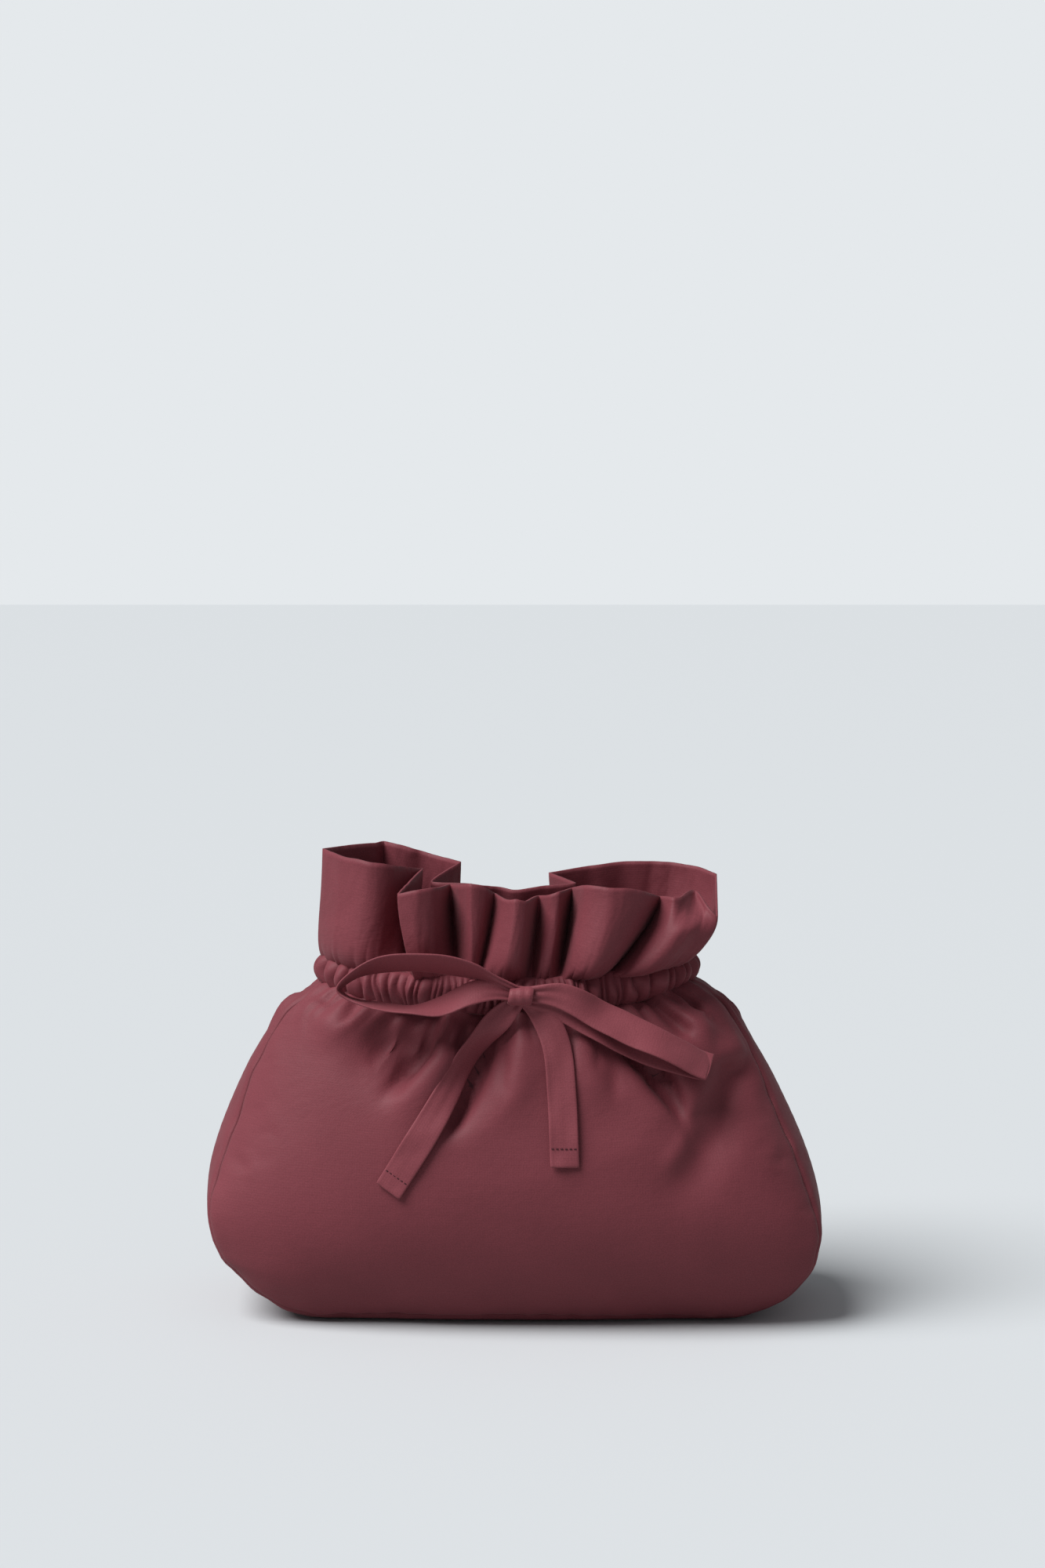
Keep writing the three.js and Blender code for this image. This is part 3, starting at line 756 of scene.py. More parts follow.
def settled_body(shape, grid):
    """The folded skin after it has settled as filled cloth, cut a little fuller towards the neck."""
    points = shaped_body(shape, grid)
    share = smoothstep(*NECK_CUT_SPAN, shape.neck_share(grid.height))[:, None]
    rest = points.copy()
    rest[:, :2] *= 1 + NECK_CUT * share
    pins = np.zeros(len(points))
    pins[grid.points[:, 2] < FLAT_BASE] = 1
    for edge in (grid.front[-1], grid.back[-1], grid.gusset[0], grid.gusset[-1]):
        pins[edge] = 1
    settled = settle_cloth(
        points, grid.quads, rest, pins, BODY_FRAMES, BODY_CAP, BODY_BENDING, BODY_PRESSURE
    )
    settled = points + calm_seams(settled - points, seam_distance(points, grid), grid)
    normals = vertex_normals(settled, grid.quads)
    press = FOLD_PRESS * smoothstep(*PRESS_SPAN, shape.body_height - grid.height)
    rise = press * fold_rise(settled, grid, FRONT_FOLDS) + fold_rise(settled, grid, FRONT_CREASES)
    settled = settled + normals * rise[:, None]
    settled[:, 2] = np.maximum(settled[:, 2], 0.0)
    return settled


SKINS = {}


def body_skin(sizes):
    """Shape, grid and settled skin of the body, worked out once for a set of sizes."""
    key = tuple(getattr(sizes, name) for name in PouchSizes.__annotations__)
    if key not in SKINS:
        shape = BodyShape(sizes)
        grid = BodyGrid(shape)
        SKINS[key] = shape, grid, settled_body(shape, grid)
    return SKINS[key]


SEAM_GROOVE = 0.9
SEAM_REACH = 1.3
PUCKER = 0.45
PUCKER_PITCH = 5.5
PUCKER_REACH = 7
PUCKER_STARTS = (0.5, 3)  # heights
LINING_GAP = 2.4
LINING_CALM = 2  # rows
LINING_CLOTH = 0.5


def sewn_body(points, grid):
    """The skin drawn in along its seams, with small puckers beside them."""
    normals = vertex_normals(points, grid.quads)
    edge = seam_distance(points, grid)
    groove = SEAM_GROOVE * np.exp(-(edge / SEAM_REACH) ** 2)
    pucker = PUCKER * smooth_noise(5, points[:, 0] / PUCKER_PITCH, points[:, 2] / PUCKER_PITCH)
    pucker *= np.exp(-edge / PUCKER_REACH) * smoothstep(*PUCKER_STARTS, points[:, 2])
    moved = points + normals * (pucker - groove)[:, None]
    moved[:, 2] = np.maximum(moved[:, 2], 0.0)
    return moved


class POUCH_OT_body(bpy.types.Operator):
    """Make the padded front and back panels and the gusset between them"""

    bl_idname = "pouch.body"
    bl_label = "Body"

    def execute(self, context):
        shape, grid, points = body_skin(context.scene.pouch_sizes)
        points = sewn_body(points, grid)
        for name, index, flip in (
            ("front_panel", grid.front, False),
            ("back_panel", grid.back, True),
            ("gusset", grid.gusset, False),
        ):
            piece = grid_piece("padded_" + name, points[index], flip=flip)
            apply_modifier(piece, "SOLIDIFY", thickness=shape.padding * MM, offset=-1.0)
            finish(piece, satin(), "satin", name)
        return {"FINISHED"}


class POUCH_OT_lining(bpy.types.Operator):
    """Make the lining that hangs inside the body"""

    bl_idname = "pouch.lining"
    bl_label = "Lining"

    def execute(self, context):
        shape, grid, points = body_skin(context.scene.pouch_sizes)
        normals = vertex_normals(points, grid.quads)
        points = points - normals * (shape.padding + LINING_GAP)
        for name, index, flip in (
            ("lining_front", grid.front, False),
            ("lining_back", grid.back, True),
            ("lining_gusset", grid.gusset, False),
        ):
            inset = index[:, 1:-1] if name == "lining_gusset" else index[1:-1, 1:-1]
            own = evened(evened(points[inset], LINING_CALM, 0), LINING_CALM, 1)
            piece = grid_piece("sewn_" + name, own, flip=flip)
            apply_modifier(piece, "SOLIDIFY", thickness=LINING_CLOTH * MM, offset=-1.0)
            finish(piece, lining_cloth(), "lining", name)
        return {"FINISHED"}


# Casing

CASING_COLUMNS = 1300
CASING_ROWS = 22
CASING_CLOTH = 0.7
CASING_INSET = 4.2
INNER_ROWS = 8
INNER_SPAN = (0.02, 0.96)  # where the inner wall begins and how tall it is, as shares of the casing
INNER_RUCHE = 0.12
CASING_SINK = 1.2  # how far the casing lies inside the neck line at its two edges
CASING_BELL = 0.7
END_FLAT = 0.55  # how much flatter the casing is at the two ends of the neck
END_FLAT_POWER = 8
EDGE_RUCHE = 0.2  # share of the ruching left at the edges, and what is added in the middle
MIDDLE_RUCHE = 0.55
CASING_WANDER = 1.3
CASING_WANDER_GRAIN = 9.0
CASING_WANDER_RISE = 1.6
CASING_LIFT = 0.5
CASING_LIFT_GRAIN = 14.0
RUCHE_PITCH = 3.7
RUCHE_TALLEST = 4.2
RUCHE_SPREAD = 0.32
RUCHE_SHARES = (0.75, 0.9)  # widths away from the ends of the neck, and what is added at the ends
RUCHE_BOLDNESS = (0.7, 1.25)
RUCHE_ROUNDNESS = 0.75


def ruches(perimeter, seed, pitch, turns):
    """Starts, widths and boldness of the ruched folds round the neck, uneven as gathered cloth is."""
    rng = np.random.default_rng(seed)
    count = int(perimeter / pitch)
    widths = rng.lognormal(0, RUCHE_SPREAD, count)
    widths *= RUCHE_SHARES[0] + RUCHE_SHARES[1] * np.cos(np.arange(count) / count * turns * np.pi) ** 4
    widths *= perimeter / widths.sum()
    starts = np.concatenate([[0], np.cumsum(widths)])
    return starts, widths, rng.uniform(*RUCHE_BOLDNESS, count)


def ruche_height(at, starts, widths, boldness):
    """Height of the ruched folds at a distance round the neck, round on top and sharp between."""
    at = np.mod(at, starts[-1])
    i = np.clip(np.searchsorted(starts, at, side="right") - 1, 0, len(widths) - 1)
    share = (at - starts[i]) / widths[i]
    arch = np.sin(np.pi * np.clip(share, 0, 1)) ** RUCHE_ROUNDNESS
    return boldness[i] * np.minimum(widths[i], RUCHE_TALLEST) * arch


def neck_run(shape, count):
    """Angles evenly spaced along the neck oval, the distance of each round it and the whole way round."""
    fine = np.linspace(0, 2 * np.pi, 4001)
    run = travelled(shape.neck_point(fine, 0 * fine), 0)
    at = np.linspace(0, run[-1], count, endpoint=False)
    return np.interp(at, run, fine), at, run[-1]


class POUCH_OT_casing(bpy.types.Operator):
    """Make the ruched casing round the neck"""

    bl_idname = "pouch.casing"
    bl_label = "Casing"

    def execute(self, context):
        shape = BodyShape(context.scene.pouch_sizes)
        angle, run, perimeter = neck_run(shape, CASING_COLUMNS)
        folds = ruches(perimeter, 11, RUCHE_PITCH, 2)
        flatter = 1 - END_FLAT * np.cos(angle) ** END_FLAT_POWER
        lift = CASING_LIFT * smooth_noise(8, run / CASING_LIFT_GRAIN, 0 * run)
        walls = []
        for v in np.linspace(0, 1, CASING_ROWS):
            bell = np.sin(np.pi * v) ** CASING_BELL
            grain = run / CASING_WANDER_GRAIN
            wander = CASING_WANDER * smooth_noise(3, grain, 0 * run + v * CASING_WANDER_RISE)
            tall = ruche_height(run + wander, *folds) * (EDGE_RUCHE + MIDDLE_RUCHE * bell)
            offset = shape.casing_puff * bell * flatter - CASING_SINK + tall
            walls.append((offset, shape.casing_height * v + lift))
        inner = -CASING_INSET - INNER_RUCHE * ruche_height(run, *folds)
        for v in np.linspace(1, 0, INNER_ROWS):
            share = v * INNER_SPAN[1] + INNER_SPAN[0]
            walls.append((inner, shape.casing_height * share + 0 * run))
        rows = []
        for offset, height in walls:
            at = shape.neck_point(angle, offset)
            climb = shape.end_rise(at[:, 0]) * (1 - height / shape.casing_height)
            z = shape.neck_height(at[:, 0]) + height + climb
            rows.append(np.stack([at[:, 0] - shape.neck_lean, at[:, 1], z], axis=-1))
        piece = grid_piece("ruched_casing", np.stack(rows), ring=True)
        apply_modifier(piece, "SOLIDIFY", thickness=CASING_CLOTH * MM, offset=-1.0)
        finish(piece, satin(), "satin", "neck_casing")
        return {"FINISHED"}


# Frill

# Rim of each frill half from the left side seam to the right one: x, y and z in millimetres, the place of
# the same thread on the casing as a distance from the middle of the neck, and how sharp the fold is
FRONT_RIM = [
    (-74.5, -4, 182.7, -72.6, 1), (-66, -18, 181.6, -66, 0), (-56, -26, 180.2, -57, 0),
    (-48, -23, 178.5, -50, 0), (-41.5, -12, 176.4, -44, 0), (-36.3, -3, 174.4, -38.5, 0.6),
    (-40.5, -25, 171.5, -36.5, 0), (-44, -38, 168.7, -35, 1), (-37.5, -40, 170.9, -31, 0),
    (-30.5, -36, 171.5, -26.5, 0), (-25, -17, 169.5, -19, 0.1), (-20.5, -27, 171.1, -16, 0),
    (-16.5, -35, 172.6, -13.5, 0.4), (-11, -33, 170.6, -12.5, 0), (-7.5, -26, 167.6, -11, 0.5),
    (-4, -35, 167.6, -8, 0), (0.5, -39, 167.1, -2.5, 0.6), (4.5, -36, 166.9, 3, 0),
    (9.3, -20, 166.2, 8.5, 0), (13.6, -29, 168.1, 12, 0), (17.6, -30, 169.4, 15.5, 0),
    (22.3, -11, 168, 20, 0.2), (24.8, -23, 170, 21.2, 0), (27.5, -34, 172, 22.5, 0.3),
    (34, -38, 172.6, 26, 0), (42, -37, 171.8, 30, 0), (50, -31, 169.7, 33.5, 0),
    (56.3, -17, 166.2, 36.5, 0.5), (61, -29, 166.2, 42, 0), (68.7, -31, 168, 52, 0),
    (74, -31, 163.5, 61, 0), (78.2, -28, 159.3, 67, 1), (79.9, 8, 171, 72.6, 1),
]
BACK_RIM = [
    (-74.5, -4, 182.7, -72.6, 1), (-68, 10, 182, -66, 0), (-56, 24, 181, -57, 0),
    (-52.5, 29, 181.5, -50, 0.6), (-46, 25, 180.5, -43, 0), (-36.5, 24, 178.3, -35, 0),
    (-28, 20, 176, -28, 0), (-21.4, 12, 174.5, -22, 0.9), (-32.4, -6, 169.2, -16, 0.6),
    (-17, -10, 169.6, -10, 0), (-7.5, -8, 168.8, -4, 0), (1.3, -10, 167.3, 1, 0),
    (14, -8, 168, 9, 0), (24, -5, 169.2, 16, 0.6), (14.2, 14, 171, 23, 0.9),
    (30.1, 24, 172.6, 32, 0), (54.5, 28, 173.3, 48, 0.3), (64.5, 26, 173.3, 57, 0),
    (72.5, 20, 172.5, 65, 0), (79.9, 8, 171, 72.6, 1),
]
FRILL_STEPS = 16
FRILL_ROWS = 30
FRILL_CLOTH = 0.8
FRILL_INSET = 1.6
FRILL_SEAM = 2.0  # how far the frill reaches down into the casing
FRILL_FOLD_PITCH = 9
FRILL_FULLNESS = 1.035
FRILL_FRAMES = 14
FRILL_CAP = 4.0
FRILL_BENDING = 1.5
FRILL_BELLY = 2.4
BELLY_HEIGHT = 0.22  # share of the height where the frill bellies out most
FRILL_TURN = 0.3  # share of the height in which the pleats turn from the casing to the rim
FRILL_LEAN = (-0.35, 1.0)  # shares of the height between which it leans from the casing to the rim
ROW_CROWDING = 1.3  # how much closer the rows lie at the foot, as a power
HELD_SHARP = 0.79  # a fold of the rim that is sharper than this is held while the cloth settles
SHARP_PULL = 0.88
TANGENT_LIMIT = 1.1
# Strength of the small gathers at the foot and of the wide ones, and the share of the height they reach
FOOT_GATHER = (0.5, 0.1)
WIDE_GATHER = (0.15, 0.3)
EAR_CALM = 0.75  # how much weaker the wide gathers are on the ears
EAR_SPAN = (40, 52)  # places on the casing where the ears begin
# Puffed facets of the front half: place on the casing, half width, bulge, share of the height where the
# bulge is fullest and how far the facet droops
FRILL_PILLOWS = [(-54, 14, 2.5, 0.2, 1), (2, 7, 4, 0.4, 0), (28.5, 5.5, 5, 0.32, 2.5), (47, 11, 6, 0.35, 4)]
# Where the rim of the front half folds inwards: place on the casing, half width, depth and share of the
# height where the fold begins
FRILL_TUCKS = [(53, 8, 20, 0.6)]
# Creases of the front half that run from the casing towards the rim: place, half width and depth
FRILL_CREASES = [
    (-40, 1.8, 5), (-19, 2.4, 5), (-11, 1.0, 3), (8.5, 2.2, 4), (20, 1.3, 4), (36.6, 1.3, 7),
]
CREASE_STARTS = (0, 0.15)  # shares of the height
CREASE_ENDS = (0.7, 1)
FRILL_WAVE = 0.5
WAVE_GRAIN = 7
WAVE_EASE = 8  # distance from the side seams at which the wave is full
END_MARGIN = 0.4


def through(values, sharp, steps):
    """Smooth curve through guide values, turning tightly where a guide is sharp."""
    values = np.asarray(values, dtype=float)
    tangent = np.empty_like(values)
    tangent[1:-1] = (values[2:] - values[:-2]) / 2
    tangent[0] = values[1] - values[0]
    tangent[-1] = values[-1] - values[-2]
    tangent *= (1 - SHARP_PULL * np.asarray(sharp))[:, None]
    pieces = []
    t = np.linspace(0, 1, steps, endpoint=False)[:, None]
    for a, b, *ends in zip(values, values[1:], tangent, tangent[1:]):
        longest = TANGENT_LIMIT * np.linalg.norm(b - a)
        ta, tb = (m * min(1.0, longest / max(np.linalg.norm(m), 1e-9)) for m in ends)
        pieces.append((2 * t**3 - 3 * t**2 + 1) * a + (t**3 - 2 * t**2 + t) * ta
                      + (3 * t**2 - 2 * t**3) * b + (t**3 - t**2) * tb)
    pieces.append(values[-1:])
    return np.concatenate(pieces)


def closeness(place, middle, reach):
    """Share from 0 to 1 of places that lie near a middle."""
    return np.exp(-(((place - middle) / reach) ** 2))


def swell(v, fullest):
    """Share from 0 to 1 of a bulge that is fullest at one share of the height."""
    return v / fullest * math.exp(1 - v / fullest)


def frill_points(shape, rim, is_front):
    """Rows of the middle surface of a frill half, from the casing up to the rim."""
    guide = np.asarray(rim, dtype=float)
    edge = through(guide[:, :3], guide[:, 4], FRILL_STEPS)
    numbers = np.arange(len(guide))
    place = np.interp(np.linspace(0, len(guide) - 1, len(edge)), numbers, guide[:, 3])
    seed = 21 if is_front else 22
    ease = np.minimum(1, (place[-1] - np.abs(place)) / WAVE_EASE)
    for axis in (1, 2):
        edge[:, axis] += FRILL_WAVE * ease * smooth_noise(seed + 40 + axis, place / WAVE_GRAIN)
    angle = np.arccos(np.clip(place / (shape.neck_width / 2 - END_MARGIN), -1, 1))
    angle = -angle if is_front else angle
    out = shape.neck_point(angle, 0 * angle + 1) - shape.neck_point(angle, 0 * angle)
    foot = shape.neck_point(angle, 0 * angle - FRILL_INSET)
    foot_x = foot[:, 0] - shape.neck_lean
    foot_z = shape.neck_height(foot[:, 0]) + shape.casing_height - FRILL_SEAM
    run = travelled(foot, 0)
    tall = ruche_height(run, *ruches(run[-1] + 1, seed, RUCHE_PITCH, 1))
    wide = ruche_height(run, *ruches(run[-1] + 1, seed + 10, FRILL_FOLD_PITCH, 1))
    calm = 1 - EAR_CALM * smoothstep(*EAR_SPAN, np.abs(place))
    lean_foot, lean_rim = smoothstep(*FRILL_LEAN, 0), smoothstep(*FRILL_LEAN, 1)
    rows = []
    for v in np.linspace(0, 1, FRILL_ROWS) ** ROW_CROWDING:
        lean = (smoothstep(*FRILL_LEAN, v) - lean_foot) / (lean_rim - lean_foot)
        deep = (1 - math.exp(-v / FRILL_TURN)) / (1 - math.exp(-1 / FRILL_TURN))
        x = foot_x + (edge[:, 0] - foot_x) * lean
        y = foot[:, 1] + (edge[:, 1] - foot[:, 1]) * deep
        z = foot_z + (edge[:, 2] - foot_z) * v
        puff = FOOT_GATHER[0] * (tall - tall.mean()) * math.exp(-v / FOOT_GATHER[1])
        puff = puff + calm * WIDE_GATHER[0] * (wide - wide.mean()) * math.exp(-((v / WIDE_GATHER[1]) ** 2))
        puff = puff + FRILL_BELLY * swell(v, BELLY_HEIGHT)
        if is_front:
            for middle, reach, bulge, share, droop in FRILL_PILLOWS:
                pillow = closeness(place, middle, reach) * swell(v, share)
                puff = puff + bulge * pillow
                z = z - droop * pillow * (1 - v)
            fade = smoothstep(*CREASE_STARTS, v) * (1 - smoothstep(*CREASE_ENDS, v))
            for middle, reach, depth in FRILL_CREASES:
                y = y + depth * closeness(place, middle, reach) * fade
            for middle, reach, depth, share in FRILL_TUCKS:
                y = y + depth * closeness(place, middle, reach) * smoothstep(share, 1, v)
        rows.append(np.stack([x + out[:, 0] * puff, y + out[:, 1] * puff, z], axis=-1))
    return np.stack(rows)


class POUCH_OT_frill(bpy.types.Operator):
    """Make the front and back halves of the standing frill"""

    bl_idname = "pouch.frill"
    bl_label = "Frill"

    def execute(self, context):
        shape = BodyShape(context.scene.pouch_sizes)
        for name, rim, is_front in (("front_frill", FRONT_RIM, True), ("back_frill", BACK_RIM, False)):
            points = frill_points(shape, rim, is_front)
            quads = grid_quads(grid_index(points), flip=not is_front)
            columns = points.shape[1]
            sharp = np.interp(np.arange(columns), np.arange(len(rim)) * FRILL_STEPS, [g[4] for g in rim])
            pins = np.zeros(points.shape[:2])
            pins[0] = 1
            pins[:, [0, -1]] = 1
            pins[-1, sharp > HELD_SHARP] = 1
            start = points.reshape(-1, 3)
            settled = settle_cloth(
                start, quads, start * FRILL_FULLNESS, pins.ravel(), FRILL_FRAMES, FRILL_CAP, FRILL_BENDING
            )
            points = settled.reshape(points.shape)
            piece = grid_piece("folded_" + name, points, flip=not is_front)
            apply_modifier(piece, "SOLIDIFY", thickness=FRILL_CLOTH * MM, offset=0.0)
            finish(piece, satin(), "satin", name)
        return {"FINISHED"}


# Ribbon

RIBBON_CLOTH = 0.9
RIBBON_ACROSS = 10
RIBBON_STEPS = 14
RIBBON_CREASE = 0.55
CREASE_GRAIN = 11
CREASES_ACROSS = 1.4
RIBBON_PLEAT = 0.55
RIBBON_PLEATS = 2.3
PLEAT_PHASE = 0.6
PINCH_SPAN = (5, 12.5)  # widths between which the ribbon opens out of its pleats
TAIL_SHARE = 0.8  # width of the folded tails as a share of the ribbon
PROBE_STEP = 3
KNOT = np.array([2.7, -45.5, 131.3])
KNOT_HALF = (4.6, 4.2, 3.3)
KNOT_ROWS = 48
KNOT_COLUMNS = 17
KNOT_TAPER = 0.2
KNOT_RIPPLE = 0.03
KNOT_RIPPLES = 2.6
KNOT_SWIRL = 1.2
KNOT_SKEW = 0.5
HEM_DEPTH = 6.0
STITCH_PITCH = 1.7
STITCH_LENGTH = 1.15
STITCH_THICK = 0.5
STITCH_GAP = 0.7
STITCH_LIFT = 0.1
STITCH_SIDES = 6
STITCH_FLATNESS = 0.6
# Shares of the length and of the thickness of a stitch, from end to end
STITCH_FORM = ((0, 0.25), (0.15, 1), (0.85, 1), (1, 0.25))


def front_reach(x, z):
    """How far the front of the body and casing stands out near a place, in millimetres."""
    reach = []
    for name in ("padded_front_panel", "ruched_casing"):
        for step in (-PROBE_STEP, 0, PROBE_STEP):
            start = (x * MM, -1.0, (z + step) * MM)
            hit, place, _, _ = bpy.data.objects[name].ray_cast(start, (0, 1, 0))
            if hit:
                reach.append(-place.y / MM)
    if not reach:
        raise RuntimeError("the ribbon leaves the front of the pouch")
    return max(reach)


def ribbon_strip(guides, seed):
    """Middle surface of a flat ribbon through (point, direction across, width) guides, softly creased."""
    centre, across, width = (np.array(values, dtype=float) for values in zip(*guides))
    across /= np.linalg.norm(across, axis=1, keepdims=True)
    soft = np.zeros(len(guides))
    left = through(centre - across * width[:, None] / 2, soft, RIBBON_STEPS)
    right = through(centre + across * width[:, None] / 2, soft, RIBBON_STEPS)
    share = np.linspace(0, 1, RIBBON_ACROSS + 1)
    strip = left[:, None, :] * (1 - share[None, :, None]) + right[:, None, :] * share[None, :, None]
    normals = np.cross(np.gradient(strip, axis=0), np.gradient(strip, axis=1))
    normals /= np.maximum(np.linalg.norm(normals, axis=2, keepdims=True), 1e-9)
    wide = np.linalg.norm(right - left, axis=1)[:, None]
    run = travelled(strip.mean(axis=1), 0)[:, None]
    pinch = 1 - smoothstep(*PINCH_SPAN, wide)
    crease = RIBBON_CREASE * smooth_noise(seed, run / CREASE_GRAIN, share[None, :] * CREASES_ACROSS)
    pleat = RIBBON_PLEAT * pinch * np.cos(2 * np.pi * RIBBON_PLEATS * share[None, :] + PLEAT_PHASE)
    return strip + normals * (crease + pleat)[..., None]


def hem_stitches(strip, outward):
    """Short stitches across a tail near its end, as small rods: points and quads."""
    from_end = travelled(strip.mean(axis=1)[::-1], 0)
    row = strip[-1 - int(np.searchsorted(from_end, HEM_DEPTH))]
    along = row[-1] - row[0]
    width = np.linalg.norm(along)
    along /= width
    out = np.asarray(outward, dtype=float)
    out -= along * (out @ along)
    out /= np.linalg.norm(out)
    turn = np.linspace(0, 2 * np.pi, STITCH_SIDES, endpoint=False)[:, None]
    ring = np.cos(turn) * np.cross(along, out) + STITCH_FLATNESS * np.sin(turn) * out
    points, quads = [], []
    for at in np.arange(STITCH_GAP, width - STITCH_GAP, STITCH_PITCH):
        base = row[0] + along * at + out * (RIBBON_CLOTH / 2 + STITCH_LIFT)
        rod = np.stack([
            base + along * (share * STITCH_LENGTH) + ring * (thick * STITCH_THICK / 2)
            for share, thick in STITCH_FORM
        ])
        quads.append(grid_quads(grid_index(rod, sum(map(len, points))), flip=True, ring=True))
        points.append(rod.reshape(-1, 3))
    return np.concatenate(points), np.concatenate(quads)


def knot_points():
    """Rings of the knot, a small barrel that lies across the bow."""
    turn = np.linspace(0, 2 * np.pi, KNOT_ROWS, endpoint=False)[:, None]
    share = np.linspace(-1, 1, KNOT_COLUMNS)
    ripple = KNOT_RIPPLE * np.cos(KNOT_RIPPLES * np.pi * share + KNOT_SWIRL * np.sin(turn))
    barrel = 1 - KNOT_TAPER * share**4 + ripple
    return np.stack([
        KNOT[0] + KNOT_HALF[0] * share + KNOT_SKEW * np.sin(turn),
        KNOT[1] + KNOT_HALF[1] * np.cos(turn) * barrel,
        KNOT[2] + KNOT_HALF[2] * np.sin(turn) * barrel,
    ], axis=-1)


class POUCH_OT_ribbon(bpy.types.Operator):
    """Make the ribbon tied in a bow"""

    bl_idname = "pouch.ribbon"
    bl_label = "Ribbon"

    def execute(self, context):
        shape = BodyShape(context.scene.pouch_sizes)
        wide = shape.ribbon_width
        tail = TAIL_SHARE * wide

        def near(x, y, z, across, width=wide):
            return (KNOT + np.array([x, y, z]), across, width)

        def on_panel(x, z, lift, across, width=wide, tilt=0.0):
            level = np.array(across) / np.hypot(*across)
            reach = width / 2 * level
            right = front_reach(x + reach[0], z + reach[1])
            left = front_reach(x - reach[0], z - reach[1])
            middle = max(front_reach(x, z), (right + left) / 2)
            slope = (left - right) / width + tilt
            return (np.array([x, -(middle + lift), z]), (level[0], slope, level[1]), width)

        upright = (0.4, 0, 0.92)
        slanted = (0.4, 0.92)
        bow = {
            "left_loop": [
                near(0, 0, 1.5, (0, 0.5, -0.8), 5),
                near(-8, -1, 5.5, (0.3, 0.6, -0.75), 7),
                near(-17, -1, 9.6, (0.1, 0.72, -0.68), 12),
                near(-30, -1, 12.2, (0, 0.76, -0.65)),
                near(-43.4, 0, 12.8, (0, 0.78, -0.62)),
                near(-55.4, 1.5, 11.2, (0, 0.84, -0.54)),
                near(-64, 3.5, 7.4, (0.1, 0.95, -0.3)),
                near(-69.5, 5, 2, (0.1, 0.985, -0.15)),
                near(-66, 4, -1.6, (0, 0.985, -0.05)),
                near(-57, 1, -4.0, (0, 0.985, 0.02)),
                near(-43, -2, -5.2, (0, 0.98, 0.1)),
                near(-31, -3, -3.6, (0, 0.9, 0.4)),
                near(-19, -2, 1.4, (0, 0.76, 0.65), 12),
                near(-9, -1, 2.4, (0, 0.6, 0.8), 8),
                near(0, 0, 0, (0, 0.3, 0.9), 5),
            ],
            "right_loop": [
                near(0, 0, 1, upright, 5),
                near(16, -1, 0, upright, 10),
                on_panel(36, 122, 9, slanted, tilt=0.65),
                on_panel(57, 112.5, 9, slanted, tilt=0.65),
                on_panel(75.5, 103, 5.5, slanted, tilt=0.65),
                on_panel(55, 109.5, 2.6, slanted, tilt=0.3),
                on_panel(35, 117.5, 4.0, slanted, tilt=0.3),
                near(13, 1, -4, upright, 9),
                near(0, 0, -1, upright, 5),
            ],
            "left_tail": [
                near(0, 0, -1, (0.8, 0, -0.6), 5),
                near(-8, 1, -9, (0.8, 0, -0.6), 10),
                on_panel(-17, 108, 1.4, (0.85, -0.5), tail),
                on_panel(-32, 83, 1.4, (0.85, -0.5), tail),
                on_panel(-48, 57.5, 1.4, (0.83, -0.56), tail),
            ],
            "right_tail": [
                near(0, 0, -1, (1, 0, 0.1), 5),
                near(8, 1, -7, (1, 0, 0.3), 10),
                on_panel(16.5, 112, 1.4, (1, 0.2), tail),
                on_panel(18.5, 92, 1.4, (1, 0), tail),
                on_panel(19.5, 67.5, 1.4, (1, 0), tail),
            ],
        }
        strips = {name: ribbon_strip(guides, 40 + seed) for seed, (name, guides) in enumerate(bow.items())}
        knot = knot_points()
        points, quads, uvs, start = [], [], [], 0
        for part in (*strips.values(), knot):
            index = grid_index(part, start)
            start += index.size
            if part is knot:
                index = np.concatenate([index, index[:1]])
            points.append(part.reshape(-1, 3))
            uvs.append(cloth_map(part))
            quads.append(grid_quads(index))
        piece = new_piece("tied_ribbon", np.concatenate(points), np.concatenate(quads), np.concatenate(uvs))
        apply_modifier(piece, "SOLIDIFY", thickness=RIBBON_CLOTH * MM, offset=0.0)
        apply_modifier(piece, "SUBSURF", levels=1, render_levels=1)
        finish(piece, ribbon_satin(), "satin", "tie_ribbon")
        for number, name in enumerate(("left_tail", "right_tail"), 1):
            at, faces = hem_stitches(strips[name], (0, -1, 0))
            seam = new_piece(f"hem_stitches_{number}", at, faces, at[:, [0, 2]])
            finish(seam, sewing_thread(), "satin", "tie_ribbon")
        return {"FINISHED"}


# Elastic

RIB_PITCH = 1.0
WAVE_TURN = 20  # radians that a wave texture of scale 1 turns through in one unit


class POUCH_OT_elastic(bpy.types.Operator):
    """Give the elastic inside the casing its knitted finish"""

    bl_idname = "pouch.elastic"
    bl_label = "Elastic"

    def execute(self, context):
        # Knitted elastic: matt cream with fine ribs that run round the band.
        material, shader, add, link = new_material("knitted_elastic")
        place = add("TexCoord").outputs["Object"]
        ribs = add("TexWave", {"Vector": place}, bands_direction="Z",
                   Scale=2 * math.pi / (RIB_PITCH * MM) / WAVE_TURN)
        ridge = add("Bump", {"Height": ribs.outputs["Fac"]}, Strength=0.4, Distance=0.0003)
        link(ridge.outputs["Normal"], "Normal")
        shader.inputs["Base Color"].default_value = (*context.scene.pouch_colours.elastic, 1)
        shader.inputs["Roughness"].default_value = 0.85
        band = frame["nodes"]["neck_elastic"]
        band.data.materials.clear()
        band.data.materials.append(material)
        return {"FINISHED"}


# Stage

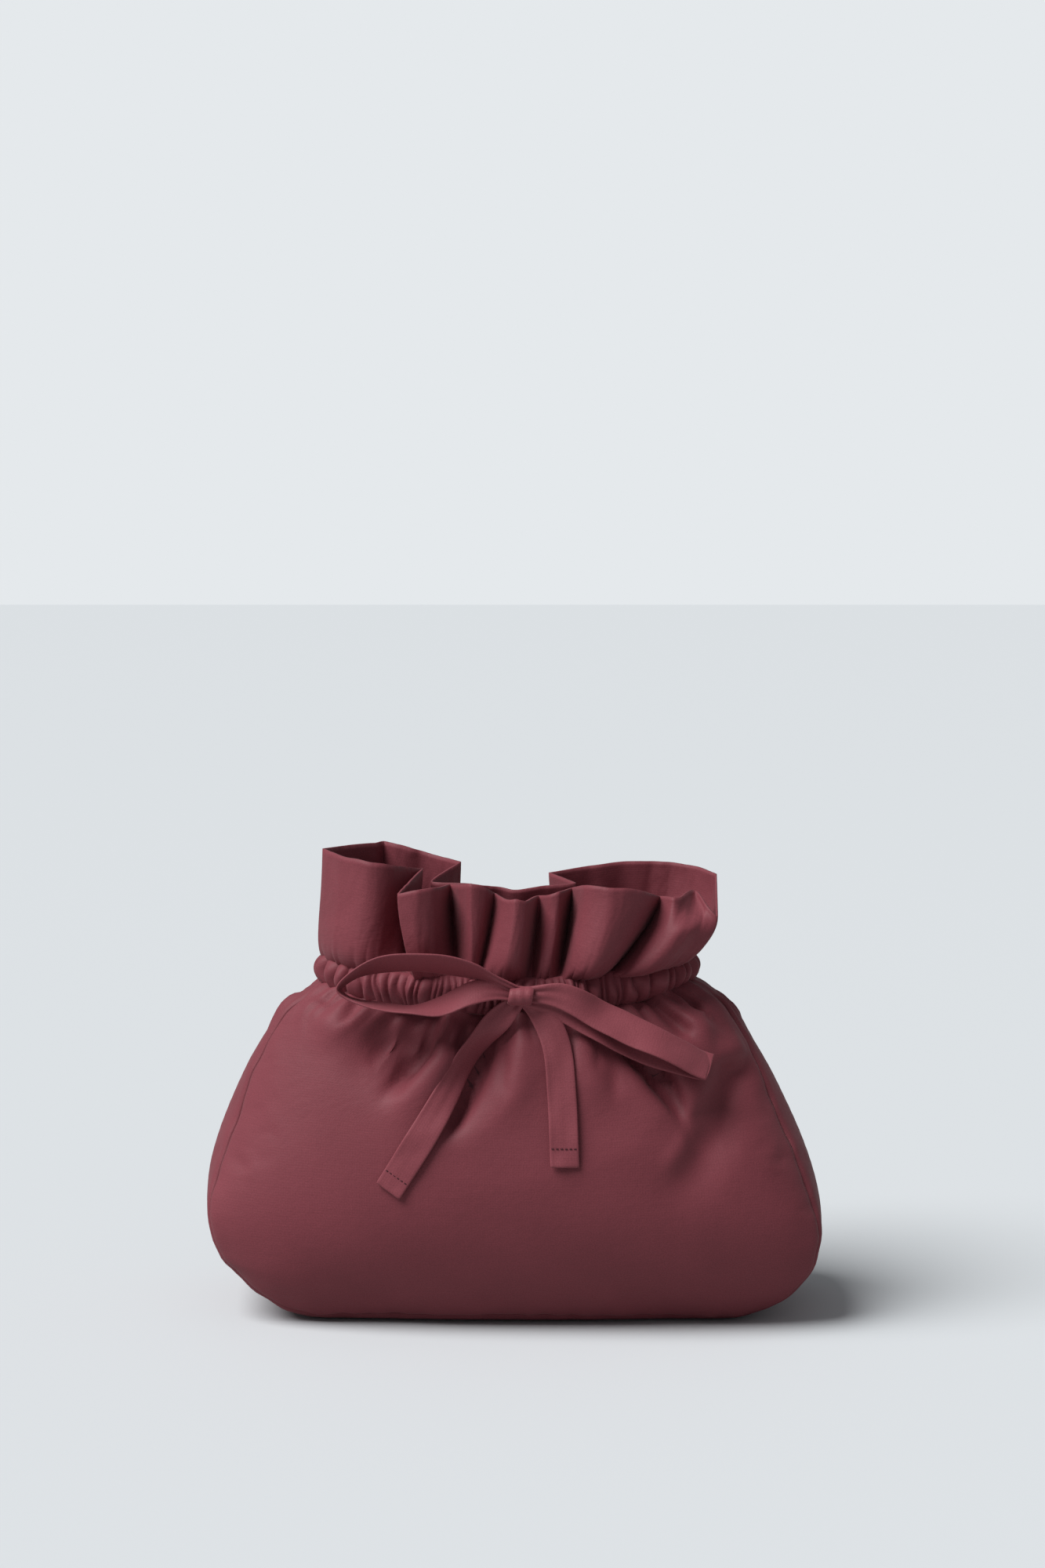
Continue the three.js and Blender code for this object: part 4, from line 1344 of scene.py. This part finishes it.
CAMERA_PLACE = (0.0034, -1.2, 0.3339)
CAMERA_PITCH = 6.0  # degrees
CAMERA_LENS = 3912 / 2000 * 36  # focal length over picture height, both in pixels, by the sensor size
FLOOR_SIZE = 12
FLOOR_BOUNCE = (0.42, 0.42, 0.42)  # what the floor gives back to the pouch
WORLD_LIGHT = 0.23  # strength of the surroundings on the pouch, where the camera sees 1
KEY_PLACE = (-0.92, -0.45, 1.35)  # where the light comes from
KEY_STRENGTH = 3.25
KEY_SPREAD = 40  # degrees


class POUCH_OT_stage(bpy.types.Operator):
    """Set the pale floor, the soft light and the camera"""

    bl_idname = "pouch.stage"
    bl_label = "Stage"

    def execute(self, context):
        scene = context.scene
        scene.view_settings.view_transform = "Standard"
        colours = scene.pouch_colours
        bpy.ops.object.select_all(action="DESELECT")
        bpy.ops.mesh.primitive_plane_add(size=FLOOR_SIZE, location=(0, 0, 0))
        floor = context.object
        floor.name = "floor"
        material, shader, add, link = new_material("pale_floor")
        seen = add("LightPath").outputs["Is Camera Ray"]
        tone = add("Mix", {0: seen}, data_type="RGBA")
        tone.inputs[6].default_value = (*FLOOR_BOUNCE, 1)
        tone.inputs[7].default_value = (*colours.floor, 1)
        link(tone.outputs[2], "Base Color")
        shader.inputs["Roughness"].default_value = 0.8
        shader.inputs["Specular IOR Level"].default_value = 0.2
        floor.data.materials.append(material)

        world = scene.world or bpy.data.worlds.new("pale_studio")
        scene.world = world
        world.use_nodes = True
        tree = world.node_tree
        background = tree.nodes["Background"]
        background.inputs["Color"].default_value = (*colours.backdrop, 1)
        add = node_adder(tree)
        seen = add("LightPath").outputs["Is Camera Ray"]
        level = add("MapRange", {"Value": seen}, **{"To Min": WORLD_LIGHT, "To Max": 1.0})
        tree.links.new(level.outputs["Result"], background.inputs["Strength"])

        bpy.ops.object.light_add(type="SUN", location=KEY_PLACE)
        lamp = context.object
        lamp.name = "key_light"
        lamp.data.energy = KEY_STRENGTH
        lamp.data.angle = math.radians(KEY_SPREAD)
        x, y, z = KEY_PLACE
        lamp.rotation_euler = (math.atan2(math.hypot(x, y), z), 0, math.atan2(y, x) + math.pi / 2)

        camera_data = bpy.data.cameras.new("photo_camera")
        camera_data.lens = CAMERA_LENS
        camera = bpy.data.objects.new("photo_camera", camera_data)
        scene.collection.objects.link(camera)
        camera.location = CAMERA_PLACE
        camera.rotation_euler = (math.radians(90 - CAMERA_PITCH), 0, 0)
        scene.camera = camera
        return {"FINISHED"}


# Add-on


class POUCH_PT_sidebar(bpy.types.Panel):
    """Sizes, colours and makers of the pouch"""

    bl_idname = "POUCH_PT_sidebar"
    bl_label = "Gathered pouch"
    bl_space_type = "VIEW_3D"
    bl_region_type = "UI"
    bl_category = "Pouch"

    def draw(self, context):
        for group in (context.scene.pouch_sizes, context.scene.pouch_colours):
            box = self.layout.box()
            for key in group.__annotations__:
                box.prop(group, key)
        for maker in MAKERS:
            self.layout.operator(maker.bl_idname)


MAKERS = (
    POUCH_OT_stage,
    POUCH_OT_body,
    POUCH_OT_lining,
    POUCH_OT_elastic,
    POUCH_OT_casing,
    POUCH_OT_frill,
    POUCH_OT_ribbon,
)
CLASSES = (PouchSizes, PouchColours, *MAKERS, POUCH_PT_sidebar)


def register():
    for cls in CLASSES:
        bpy.utils.register_class(cls)
    bpy.types.Scene.pouch_sizes = bpy.props.PointerProperty(type=PouchSizes)
    bpy.types.Scene.pouch_colours = bpy.props.PointerProperty(type=PouchColours)


def unregister():
    del bpy.types.Scene.pouch_colours
    del bpy.types.Scene.pouch_sizes
    for cls in reversed(CLASSES):
        bpy.utils.unregister_class(cls)


def main():
    register()
    bpy.ops.pouch.stage()
    bpy.ops.pouch.body()
    bpy.ops.pouch.lining()
    bpy.ops.pouch.elastic()
    bpy.ops.pouch.casing()
    bpy.ops.pouch.frill()
    bpy.ops.pouch.ribbon()


if __name__ == "__main__":
    main()
